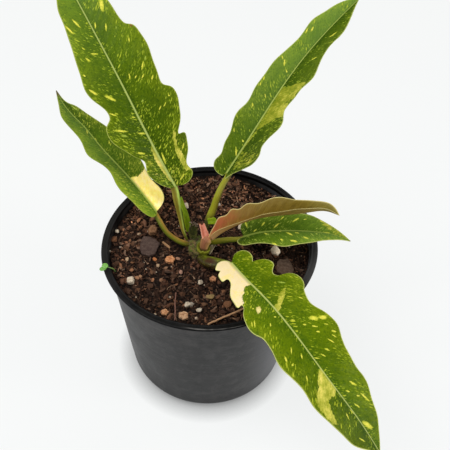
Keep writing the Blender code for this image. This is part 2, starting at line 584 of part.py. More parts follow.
def make_weed():
    """A seedling with two seed leaves, joined to its stem."""
    stem = as_mesh(stalk("weed_seedling", WEED_STEM, (0.6, 0.55, 0.5), 8, 1))
    placed(stem, "weed")
    for i, (x, y, z, radius, longer, turn) in enumerate(WEED_LEAVES):
        bpy.ops.mesh.primitive_uv_sphere_add(segments=12, ring_count=6, radius=radius * MM)
        leaf = unlinked(bpy.context.object)
        leaf.name = f"weed_leaf_{i + 1}"
        leaf.data.transform(Matrix.Diagonal((longer, 0.95, 0.35, 1)))
        leaf.rotation_euler = (math.radians(12), 0, math.radians(turn))
        leaf.location = Vector(in_space(x, y, z)) * MM
        CUTTERS.objects.link(leaf)
        leaf.hide_render = True
        leaf.display_type = "WIRE"
        join = stem.modifiers.new(f"leaf_{i + 1}", "BOOLEAN")
        join.operation = "UNION"
        join.solver = "EXACT"
        join.object = leaf


def make_litter():
    for i, (x, y, size) in enumerate(PERLITE):
        make_granule(f"perlite_{i + 1}", x, y, size, 40 + i)
    for name, values in CHIPS.items():
        make_chip(name, *values)
    placed(stalk("twig", TWIG[0], (TWIG[1],) * 2, 6, 1), "straw")
    placed(stalk("straw", STRAW[0], (STRAW[1],) * 2, 6, 1), "straw")
    make_weed()


cleared_scene()
PARTS = collection(NAME)
CUTTERS = collection("cutters")
CUTTERS.hide_render = True
ROOT = bpy.data.objects.new("root", None)
PARTS.objects.link(ROOT)
make_pot()
make_soil()
make_stem()
make_leaves()
make_litter()
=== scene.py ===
import math

import bmesh
import bpy
import numpy as np
from mathutils import Matrix, Vector


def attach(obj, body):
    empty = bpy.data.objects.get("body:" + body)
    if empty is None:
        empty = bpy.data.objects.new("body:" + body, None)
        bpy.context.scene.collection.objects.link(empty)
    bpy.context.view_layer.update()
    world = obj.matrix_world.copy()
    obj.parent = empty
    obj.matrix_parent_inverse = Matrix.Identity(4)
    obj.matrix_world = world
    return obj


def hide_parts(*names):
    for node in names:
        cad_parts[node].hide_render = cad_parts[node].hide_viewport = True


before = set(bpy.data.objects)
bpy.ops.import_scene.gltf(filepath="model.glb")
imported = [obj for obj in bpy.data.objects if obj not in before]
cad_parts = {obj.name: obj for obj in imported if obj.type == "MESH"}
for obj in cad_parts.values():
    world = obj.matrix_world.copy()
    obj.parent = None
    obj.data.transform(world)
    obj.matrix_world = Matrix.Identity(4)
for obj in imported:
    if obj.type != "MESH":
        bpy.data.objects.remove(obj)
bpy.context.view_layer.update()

MM = 0.001

# ---------------------------------------------------------------------------------------------------------------
# The view that the outlines are drawn in, as in the part: eye in mm, angle below level, lean, distance and middle
# ---------------------------------------------------------------------------------------------------------------
EYE = np.array((11.48, -424.01, 637.29))
LOOKS_DOWN = 48.307
LEANS = -2.535
VIEW_DISTANCE = 850.0
VIEW_MIDDLE = 225.0

SOIL_LEVEL = 132.8
RIM_RADIUS = 82.5
RIM_HEIGHT = 141.2


def view_axes():
    down, lean = math.radians(LOOKS_DOWN), math.radians(LEANS)
    across, up = np.array((1.0, 0, 0)), np.array((0, math.sin(down), math.cos(down)))
    ahead = np.array((0, math.cos(down), -math.sin(down)))
    return across * math.cos(lean) - up * math.sin(lean), across * math.sin(lean) + up * math.cos(lean), ahead


def drawn_place(points):
    across, up, ahead = view_axes()
    reach = points - EYE
    scale = VIEW_DISTANCE / (reach @ ahead)
    return np.stack([VIEW_MIDDLE + scale * (reach @ across), VIEW_MIDDLE - scale * (reach @ up)], -1)


def in_space(x, y, z):
    across, up, ahead = view_axes()
    sight = VIEW_DISTANCE * ahead + (x - VIEW_MIDDLE) * across + (VIEW_MIDDLE - y) * up
    return EYE + sight * (z - EYE[2]) / sight[2]


def ground(x, y):
    mound = 1.6 * np.exp(-((x + 8.5) ** 2 + (y + 3.0) ** 2) / 800)
    t = np.clip((y - 10) / 65, 0, 1)
    return SOIL_LEVEL + mound + 3.5 * t * t * (3 - 2 * t) + 0.3 * np.sin(x / 9 + 1) * np.cos(y / 11)


def spline(points, count):
    p = np.array(points, float)
    t = np.concatenate([[0], np.cumsum(np.linalg.norm(np.diff(p, axis=0), axis=1))])
    n, h = len(p), np.diff(t)
    matrix, right = np.eye(n), np.zeros_like(p)
    for i in range(1, n - 1):
        matrix[i, i - 1:i + 2] = h[i - 1], 2 * (h[i - 1] + h[i]), h[i]
        right[i] = 6 * ((p[i + 1] - p[i]) / h[i] - (p[i] - p[i - 1]) / h[i - 1])
    m = np.linalg.solve(matrix, right)
    f = np.linspace(0, t[-1], max(600, 3 * count))
    i = np.clip(np.searchsorted(t, f, side="right") - 1, 0, n - 2)
    a = ((t[i + 1] - f) / h[i])[:, None]
    b, step = 1 - a, h[i][:, None]
    q = a * p[i] + b * p[i + 1] + ((a**3 - a) * m[i] + (b**3 - b) * m[i + 1]) * step**2 / 6
    gone = np.concatenate([[0], np.cumsum(np.linalg.norm(np.diff(q, axis=0), axis=1))])
    at = np.linspace(0, gone[-1], count)
    return np.stack([np.interp(at, gone, q[:, j]) for j in range(p.shape[1])], 1), gone[-1]


def ramp(x, values):
    return np.interp(x, np.linspace(0, 1, len(values)), values)


def smooth(x, low, high):
    t = np.clip((np.asarray(x, float) - low) / (high - low), 0, 1)
    return t * t * (3 - 2 * t)


class Surface:
    """The sheet that a blade lies in: distances along and out from the midrib become points in space."""

    def __init__(self, spec):
        self.line, self.length = spline([in_space(*point) for point in spec["rib"]], 241)
        self.along = np.linspace(0, self.length, 241)
        tangent = np.gradient(self.line, axis=0)
        self.tangent = tangent / np.linalg.norm(tangent, axis=1)[:, None]
        out = np.cross(self.tangent, (0, 0, 1.0))
        out /= np.linalg.norm(out, axis=1)[:, None]
        face = np.cross(out, self.tangent)
        turn = np.radians(ramp(self.along / self.length, spec["twist"]))[:, None]
        self.out = out * np.cos(turn) + face * np.sin(turn)
        self.face = face * np.cos(turn) - out * np.sin(turn)
        self.lift = {-1: spec.get("lift_left", spec.get("lift")), 1: spec.get("lift_right", spec.get("lift"))}
        self.curl = math.radians(spec["curl"]) or 1e-6

    def at(self, along, away, side):
        on = np.clip(along, 0, self.length)
        line, tangent, out, face = (
            np.stack([np.interp(on, self.along, v[:, j]) for j in range(3)], -1)
            for v in (self.line, self.tangent, self.out, self.face)
        )
        lift = np.radians(ramp(on / self.length, self.lift[side]))
        end = lift + self.curl * away
        across = (np.sin(end) - np.sin(lift)) / self.curl
        up = (np.cos(lift) - np.cos(end)) / self.curl
        return line + tangent * (along - on)[..., None] + out * (side * across)[..., None] + face * up[..., None]

    def stations(self, outline, side):
        """Distances along and out from the midrib at which this half's sheet is drawn at each place."""
        along, away = (v.ravel() for v in np.meshgrid(np.arange(-14, self.length + 5, 2), np.arange(0.5, 50, 1.5)))
        seen = drawn_place(self.at(along, away, side))
        found = [np.array((0.0, 2.0))]
        for place in outline:
            step = (along - found[-1][0]) ** 2 + (away - found[-1][1]) ** 2
            k = (((seen - place) ** 2).sum(1) + 0.003 * step * (len(found) > 1)).argmin()
            spot = np.array((along[k], away[k]))
            for _ in range(12):
                tries = drawn_place(self.at(spot[0] + np.array((0, 0.1, 0)), spot[1] + np.array((0, 0, 0.1)), side))
                slope = (tries[1:] - tries[0]).T / 0.1
                move = np.linalg.solve(slope.T @ slope + 0.01 * np.eye(2), slope.T @ (place - tries[0]))
                spot = np.maximum(spot + np.clip(move, -3, 3), (-30, 0.3))
            found.append(spot)
        return found[1:]

    def leaf_place(self, x, y):
        """(along, out) of a drawn place, with out below 0 on the left half."""
        best = None
        for side in (-1, 1):
            spot = self.stations([(x, y)], side)[0]
            miss = np.linalg.norm(drawn_place(self.at(np.array([spot[0]]), np.array([spot[1]]), side))[0] - (x, y))
            if best is None or miss < best[0] - 0.05:
                best = (miss, spot[0], side * spot[1])
        return best[1], best[2]


# ---------------------------------------------------------------------------------------------------------------
# Outlines of the blades, drawn as in the part
# ---------------------------------------------------------------------------------------------------------------
BLADES = {
    "leaf_a_blade": dict(
        rib=[(175, 186.5, 181), (160.7, 160.7, 198), (143.5, 127.7, 219), (120.5, 82, 246), (97.6, 38.7, 270),
              (76.8, 0, 289), (55, -40, 305)],
        left=[(170.8, 188.3), (160.7, 185), (152, 179.4), (146.4, 172), (145, 162), (137.7, 158), (125, 151),
              (113.4, 143.5), (107.6, 136), (106, 127.7), (109.5, 119), (107, 112), (99.7, 105.4), (92.3, 99.7),
              (84.9, 90), (80, 76.2), (74.3, 57.5), (69.3, 40.7), (63, 23.7), (58, 11.5), (56, -2), (52, -18),
              (51, -30)],
        right=[(176.5, 185.8), (185, 183.7), (190.8, 178), (192.3, 170.8), (187.5, 164.5), (188, 152), (187.3, 139),
              (183.7, 132), (179.4, 133.4), (179.8, 122), (179.3, 105.8), (176.7, 92.9), (170.8, 85.8), (163.6, 84),
              (157.8, 73), (152, 57.4), (146.4, 41.6), (139.6, 31), (132, 24), (125.6, 23), (120.5, 18.7),
              (113.4, 8.6), (106, -2), (92, -16), (74, -30)],
        twist=(14, 14, 8), lift=(18, 14, 8), curl=-0.4),
    "leaf_b_blade": dict(
        rib=[(156.4, 212.4, 160), (129, 178, 175), (97.6, 143.5, 188), (84.7, 127.7, 193), (71.7, 114.5, 197),
              (63, 103.5, 199.5), (56.2, 90.4, 201)],
        left=[(157, 213.8), (152, 217.4), (146.4, 215), (137.7, 208), (126.8, 196), (116, 183.7), (109, 171),
              (98, 163.1), (88.5, 155.7), (83, 145), (76.6, 134.6), (67.4, 126), (61.7, 117.7), (58.8, 106),
              (57, 97)],
        right=[(157.5, 210), (160.7, 206.6), (164.3, 198), (159.3, 186.5), (150.7, 178), (145, 169), (142, 162),
              (132, 150), (118, 137), (105.5, 126), (94.7, 119), (83, 110), (74, 105), (68.5, 103), (61.5, 97)],
        twist=(-12,), lift=(16, 14, 8), curl=-0.5),
    "leaf_c_blade": dict(
        rib=[(227.9, 172, 180), (239, 155, 191), (253.7, 132, 205.5), (282.4, 87.5, 231.5), (314, 46, 255.5),
              (340, 18, 271.5), (359, -1, 281.5)],
        left=[(222.4, 175.8), (216.7, 172), (213.8, 165), (215, 160.7), (221, 154), (223.8, 143.5), (230, 132),
              (233.6, 119), (239, 110.5), (245.8, 104), (254.2, 88.4), (265, 73), (279.5, 56), (295, 41.6),
              (304, 30), (314, 18.7), (328, 10), (345.5, 0)],
        right=[(225, 179.4), (230.7, 175), (238, 171), (246.5, 167), (256.6, 160.7), (260.7, 153.9), (261.5, 149.3),
              (275.4, 132.3), (282.4, 120.5), (284, 112), (290.2, 103.4), (302.5, 89), (312.5, 77.5), (318.9, 65.1),
              (324, 54.5), (335.5, 41.6), (346.1, 27.5), (352.7, 13)],
        twist=(12, 12, 6), lift=(20, 18, 10), curl=-0.3),
    "leaf_e_blade": dict(
        rib=[(243.5, 237, 151), (259, 233, 155), (276.5, 231.3, 159), (295.7, 231, 162), (314.8, 232, 163.5),
              (334, 235, 163.5), (350.5, 241.3, 162)],
        left=[(241.5, 232), (240.5, 226), (243, 222), (252, 218.5), (268, 215), (285, 213), (300, 213), (306, 214),
              (313, 216), (320.5, 219.7), (332, 226.4), (341.6, 233)],
        right=[(239, 238.5), (237.3, 240.7), (241, 245), (251.7, 244.5), (262, 243), (270.8, 244), (282, 246.3),
              (293.8, 245.3), (307, 243.4), (320.5, 241), (334, 240), (343, 240.3)],
        twist=(0,), lift=(14, 12, 6), curl=-0.8),
    "leaf_f_blade": dict(
        rib=[(231.5, 263.5, 151), (246, 279.3, 155), (267.4, 300.9, 159), (295.7, 335, 157), (327.6, 378.3, 143),
              (359.4, 421, 123), (380, 453, 104)],
        left=[(233.2, 261.3), (233.6, 256.1), (236.5, 252.1), (242.4, 249.9), (248.3, 251.4), (252, 255.4),
              (252.7, 259.8), (253.2, 261.6), (256.4, 260.5), (263.7, 259.2), (269.6, 260.9), (274, 265.7),
              (272.9, 269.3), (274.3, 274.1), (278.4, 275.2), (285.7, 273.4), (293, 273.2), (299.6, 276),
              (304, 281.8), (304.4, 289.9), (305.5, 294.3), (310.7, 303.1), (321, 309.7), (330.7, 316), (338, 324),
              (341, 335), (348.7, 353.6), (355.4, 365.1), (364, 375.9), (369.1, 387.4), (372.8, 401.7), (377, 416.3),
              (379.1, 428.9), (380, 442)],
        right=[(231.4, 262), (224.8, 260.8), (218.9, 262.7), (216, 267.1), (216.4, 270.8), (219.7, 271.2),
              (218.6, 274.5), (219.7, 278.9), (223, 282), (227, 279.6), (230, 281.8), (230.7, 285.5), (230, 291.4),
              (231, 298), (234.3, 303.8), (238.7, 307.9), (241.7, 305.3), (243.2, 307.1), (243.3, 313.4),
              (245, 322.2), (249, 329.5), (255.6, 335), (262.2, 338.3), (267.4, 344.2), (272.5, 352.3), (279.7, 367),
              (291, 378), (303.6, 391), (311.6, 403.8), (328.3, 422.3), (341.2, 434.2), (353, 445), (366, 450)],
        twist=(0,), lift=(10, 8, 4), curl=-0.5),
    "young_leaf_blade": dict(
        rib=[(211.5, 240, 150), (219, 234, 155), (234.4, 225.4, 163), (257.4, 217.7, 171), (286, 214.2, 179),
              (308.7, 211.8, 184), (325, 210.5, 184), (339.3, 215.6, 180)],
        left=[(208.5, 237), (210.5, 232), (214.8, 224.4), (220, 216.8), (225.8, 215), (232.5, 208.7), (238, 209),
              (246, 204), (256.4, 203.4), (269, 199), (281, 197), (294.7, 199.4), (305, 200), (318.6, 201),
              (331, 204)],
        right=[(210.5, 236.5), (216, 231.5), (225.5, 227), (236, 223.5), (246, 220.2), (257, 216.3), (271, 213.2),
              (287.6, 210.5), (300.3, 208.7), (310.8, 208.1), (321.3, 208.1), (331, 210.5)],
        twist=(0,), lift_left=(60, 68, 74, 74, 70), lift_right=(64, 54, 52, 54, 58, 60, 60), curl=0.0),
}

SHEETS = {
    "young_leaf_lobe": dict(
        rib=[(213.5, 237, 152.4), (208, 234, 152.6), (204, 229.5, 154), (201.5, 223, 156.4)],
        left=[(0, 1.6), (3, 2.6), (7, 3.2), (11, 2.4), (13, 1.2)],
        right=[(0, 1.6), (3, 2.8), (7, 3.4), (11, 3.0), (13, 1.6)],
        twist=(0,), lift=(20,), curl=-2.0),
    "leaf_a_sheath": dict(
        rib=[(189, 231, 142.8), (187.8, 222, 150), (185.6, 213, 157.3), (183.2, 205, 163.8), (180.9, 197, 169.7)],
        left=[(0, 1.2), (6, 1.9), (14, 1.7), (22, 1.2), (34, 0.5)],
        right=[(0, 1.6), (6, 2.2), (14, 2.0), (22, 1.3), (34, 0.5)],
        twist=(-12,), lift=(12,), curl=-1.5),
    "leaf_c_sheath": dict(
        rib=[(207.8, 221.6, 156.2), (212, 220.8, 156.8), (216.3, 219.8, 157)],
        left=[(0, 0.9), (2, 1.7), (4.5, 1.9), (6.5, 1.2)],
        right=[(0, 0.9), (2, 1.9), (4.5, 2.0), (6.5, 1.2)],
        twist=(-50,), lift=(10,), curl=-2.0),
    "dry_sheath": dict(
        rib=[(193.4, 238.5, 142.6), (193.2, 230, 147.2), (193.8, 221.8, 152)],
        left=[(0, 2.8), (4, 3.6), (8, 3.4), (11, 2.4), (13, 1.2)],
        right=[(0, 2.4), (4, 3.2), (8, 3.4), (11, 2.6), (13, 1.2)],
        twist=(0,), lift=(16,), curl=-3.0),
}

STALKS = {
    "leaf_a_stalk": ([(186.5, 238.5, 139.2), (184, 233, 144), (181.5, 222, 151), (179, 210, 160), (177, 200, 169), (176, 191, 177)], (2.3, 2.4, 2.1)),
    "leaf_b_stalk": ([(187.5, 244, 138.8), (182, 242.4, 140.8), (175, 238.8, 144), (167, 232.4, 148.4), (161.5, 224.5, 153.6), (158.5, 217, 157.4)], (2.7, 2.4, 1.9)),
    "leaf_c_stalk": ([(203.5, 235.5, 142.6), (204.3, 232.5, 144.6), (205.7, 228.5, 147.4), (208.8, 220, 153), (213.7, 207.5, 161), (219.5, 191.5, 171), (224, 180, 177)], (3.3, 2.7, 1.9)),
    "young_leaf_stalk": ([(203, 248.7, 142), (203.2, 246.6, 143.8), (204.6, 243.6, 146), (206.6, 241.2, 147.6)], (2.8, 3.1, 3.1)),
    "leaf_e_stalk": ([(210, 242.5, 141.8), (217, 241.5, 144.6), (227, 240, 148), (236.5, 238, 150.2)], (2.3, 2.0, 1.5)),
    "leaf_f_stalk": ([(201, 257.6, 138.6), (203, 259.8, 139.3), (208, 262.2, 141.2), (215, 263.8, 144.1), (222.5, 264.8, 147)], (3.1, 3.6, 2.4)),
}

PERLITE = [(274.8, 252.6, 7.4), (241.5, 228.4, 5.6), (186, 208, 4.6), (130.6, 281, 6.2), (187.6, 305, 5.2), (199, 310.5, 4.8), (117.4, 231.3, 3.8), (200, 283, 4.2)]
CHIPS = {
    "bark_chip_large": (149.8, 247.3, 8.0, 10.2, 2.2, 20, 7),
    "bark_chip_right": (284, 266, 8.2, 8.6, 2.2, -15, 6),
    "bark_chip_brown": (152.7, 231, 4.6, 3.6, 4.4, 70, 6),
    "bark_chip_orange": (170, 260, 3.8, 3.5, 2.4, 10, 6),
    "bark_chip_tan": (183.5, 315.5, 3.9, 3.4, 2.6, -30, 6),
    "bark_chip_small": (164.5, 312, 3.0, 2.7, 2.2, 5, 5),
    "bark_chip_centre": (213, 278.7, 2.9, 2.6, 2.2, 25, 5),
}
TWIG = ([(207.5, 324.5, 135.2), (224.5, 317, 135.8), (241.5, 309.5, 136.8), (252.5, 303.5, 137.8)], 0.75)
STRAW = ([(176, 292.5, 134.4), (175.2, 302.5, 134.3), (175.3, 312.5, 134.4), (175, 320.5, 134.6)], 0.5)
WEED_STEM = [(115, 271.8, 134.2), (114.6, 270.2, 138.5), (111.9, 268.3, 143.2), (106.4, 266.7, 146.8)]
WEED_LEAVES = [(105, 265.9, 147.5, 2.4, 1.0, 0), (103, 268.5, 146.7, 1.9, 1.5, 36)]

# ---------------------------------------------------------------------------------------------------------------
# Meshes
# ---------------------------------------------------------------------------------------------------------------


def mesh_object(name, points, faces, marks=None, smooth_shaded=True):
    """A mesh from points in mm, with a float attribute on its points for each entry of marks."""
    mesh = bpy.data.meshes.new(name)
    points = np.asarray(points, float) * MM
    faces = [tuple(int(i) for i in f) for f in faces]
    mesh.from_pydata(points.tolist(), [], faces)
    for key, values in (marks or {}).items():
        values = np.asarray(values, np.float32)
        if values.ndim == 1:
            mesh.attributes.new(key, "FLOAT", "POINT").data.foreach_set("value", values)
        else:
            mesh.attributes.new(key, "FLOAT_COLOR", "POINT").data.foreach_set("color", values.ravel())
    if smooth_shaded:
        mesh.shade_smooth()
    obj = bpy.data.objects.new(name, mesh)
    bpy.context.scene.collection.objects.link(obj)
    return obj


def finished(obj, material, slot, *nodes):
    obj.data.materials.append(material)
    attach(obj, "root")
    if nodes:
        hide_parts(*nodes)
    return obj


def grid_faces(rows, columns, start=0, turned=False, wrap=False):
    r, c = np.meshgrid(np.arange(rows - 1), np.arange(columns if wrap else columns - 1), indexing="ij")
    a = start + r * columns + c
    b = start + r * columns + (c + 1) % columns
    d, e = a + columns, b + columns
    quads = np.stack([a, b, e, d], -1).reshape(-1, 4)
    return quads[:, ::-1] if turned else quads


# ---------------------------------------------------------------------------------------------------------------
# Shader nodes
# ---------------------------------------------------------------------------------------------------------------


class Tree:
    """A material's nodes, made by short calls that return sockets."""

    def __init__(self, name):
        self.material = bpy.data.materials.new(name)
        self.material.use_nodes = True
        self.tree = self.material.node_tree
        self.shader = self.tree.nodes["Principled BSDF"]

    def put(self, socket, value):
        if isinstance(value, bpy.types.NodeSocket):
            self.tree.links.new(value, socket)
        elif isinstance(value, (tuple, list)) and len(value) == 3 and socket.type == "RGBA":
            socket.default_value = (*value, 1)
        else:
            socket.default_value = value

    def mark(self, name):
        node = self.tree.nodes.new("ShaderNodeAttribute")
        node.attribute_name = name
        return node.outputs["Fac"]

    def mark_colour(self, name):
        node = self.tree.nodes.new("ShaderNodeAttribute")
        node.attribute_name = name
        return node.outputs["Color"]

    def math(self, kind, a, b=None, c=None, clamp=False):
        node = self.tree.nodes.new("ShaderNodeMath")
        node.operation = kind
        node.use_clamp = clamp
        for socket, value in zip(node.inputs, (a, b, c)):
            if value is not None:
                self.put(socket, value)
        return node.outputs[0]

    def step(self, value, low, high):
        """0 below low and 1 above high, smoothly."""
        node = self.tree.nodes.new("ShaderNodeMapRange")
        node.interpolation_type = "SMOOTHSTEP"
        self.put(node.inputs["Value"], value)
        self.put(node.inputs["From Min"], low)
        self.put(node.inputs["From Max"], high)
        return node.outputs[0]

    def span(self, value, low, high, to_low, to_high):
        node = self.tree.nodes.new("ShaderNodeMapRange")
        self.put(node.inputs["Value"], value)
        for key, number in (("From Min", low), ("From Max", high), ("To Min", to_low), ("To Max", to_high)):
            self.put(node.inputs[key], number)
        return node.outputs[0]

    def vector(self, x, y, z=0.0):
        node = self.tree.nodes.new("ShaderNodeCombineXYZ")
        for socket, value in zip(node.inputs, (x, y, z)):
            self.put(socket, value)
        return node.outputs[0]

    def place(self):
        """Place in mm."""
        node = self.tree.nodes.new("ShaderNodeTexCoord")
        scale = self.tree.nodes.new("ShaderNodeVectorMath")
        scale.operation = "SCALE"
        scale.inputs["Scale"].default_value = 1000
        self.tree.links.new(node.outputs["Object"], scale.inputs[0])
        return scale.outputs[0]

    def noise(self, where, scale, detail=2.0, rough=0.5, warp=0.0):
        node = self.tree.nodes.new("ShaderNodeTexNoise")
        self.put(node.inputs["Vector"], where)
        node.inputs["Scale"].default_value = scale
        node.inputs["Detail"].default_value = detail
        node.inputs["Roughness"].default_value = rough
        node.inputs["Distortion"].default_value = warp
        return node.outputs["Fac"]

    def cells(self, where, scale=1.0, random=1.0, flat=False):
        node = self.tree.nodes.new("ShaderNodeTexVoronoi")
        node.voronoi_dimensions = "2D" if flat else "3D"
        self.put(node.inputs["Vector"], where)
        node.inputs["Scale"].default_value = scale
        node.inputs["Randomness"].default_value = random
        return node.outputs["Distance"], node.outputs["Color"]

    def parts(self, colour):
        node = self.tree.nodes.new("ShaderNodeSeparateColor")
        self.put(node.inputs[0], colour)
        return node.outputs

    def mix(self, share, a, b):
        node = self.tree.nodes.new("ShaderNodeMix")
        node.data_type = "RGBA"
        self.put(node.inputs[0], share)
        self.put(node.inputs[6], a)
        self.put(node.inputs[7], b)
        return node.outputs[2]

    def times(self, a, b):
        node = self.tree.nodes.new("ShaderNodeMix")
        node.data_type = "RGBA"
        node.blend_type = "MULTIPLY"
        node.inputs[0].default_value = 1
        self.put(node.inputs[6], a)
        self.put(node.inputs[7], b)
        return node.outputs[2]

    def grey(self, value):
        node = self.tree.nodes.new("ShaderNodeCombineColor")
        for socket in node.inputs:
            self.put(socket, value)
        return node.outputs[0]

    def ramp(self, value, stops, kind="LINEAR"):
        node = self.tree.nodes.new("ShaderNodeValToRGB")
        node.color_ramp.interpolation = kind
        stones = node.color_ramp.elements
        while len(stones) < len(stops):
            stones.new(0.5)
        for stone, (at, colour) in zip(stones, stops):
            stone.position = at
            stone.color = (*colour, 1)
        self.put(node.inputs[0], value)
        return node.outputs["Color"]

    def bump(self, height, depth, onto=None):
        """height is in mm times depth."""
        node = self.tree.nodes.new("ShaderNodeBump")
        node.inputs["Strength"].default_value = 1.0
        node.inputs["Distance"].default_value = depth * MM
        self.put(node.inputs["Height"], height)
        if onto is not None:
            self.put(node.inputs["Normal"], onto)
        return node.outputs[0]

    def done(self, colour, roughness, normal=None, **numbers):
        self.put(self.shader.inputs["Base Color"], colour)
        self.put(self.shader.inputs["Roughness"], roughness)
        if normal is not None:
            self.put(self.shader.inputs["Normal"], normal)
        for key, value in numbers.items():
            self.put(self.shader.inputs[key.replace("_", " ")], value)
        return self.material


def srgb(r, g, b):
    """Linear colour of one given in 0 to 255."""
    return tuple(((c / 255 + 0.055) / 1.055) ** 2.4 if c > 10 else c / 255 / 12.92 for c in (r, g, b))


# ---------------------------------------------------------------------------------------------------------------
# Leaves
# ---------------------------------------------------------------------------------------------------------------

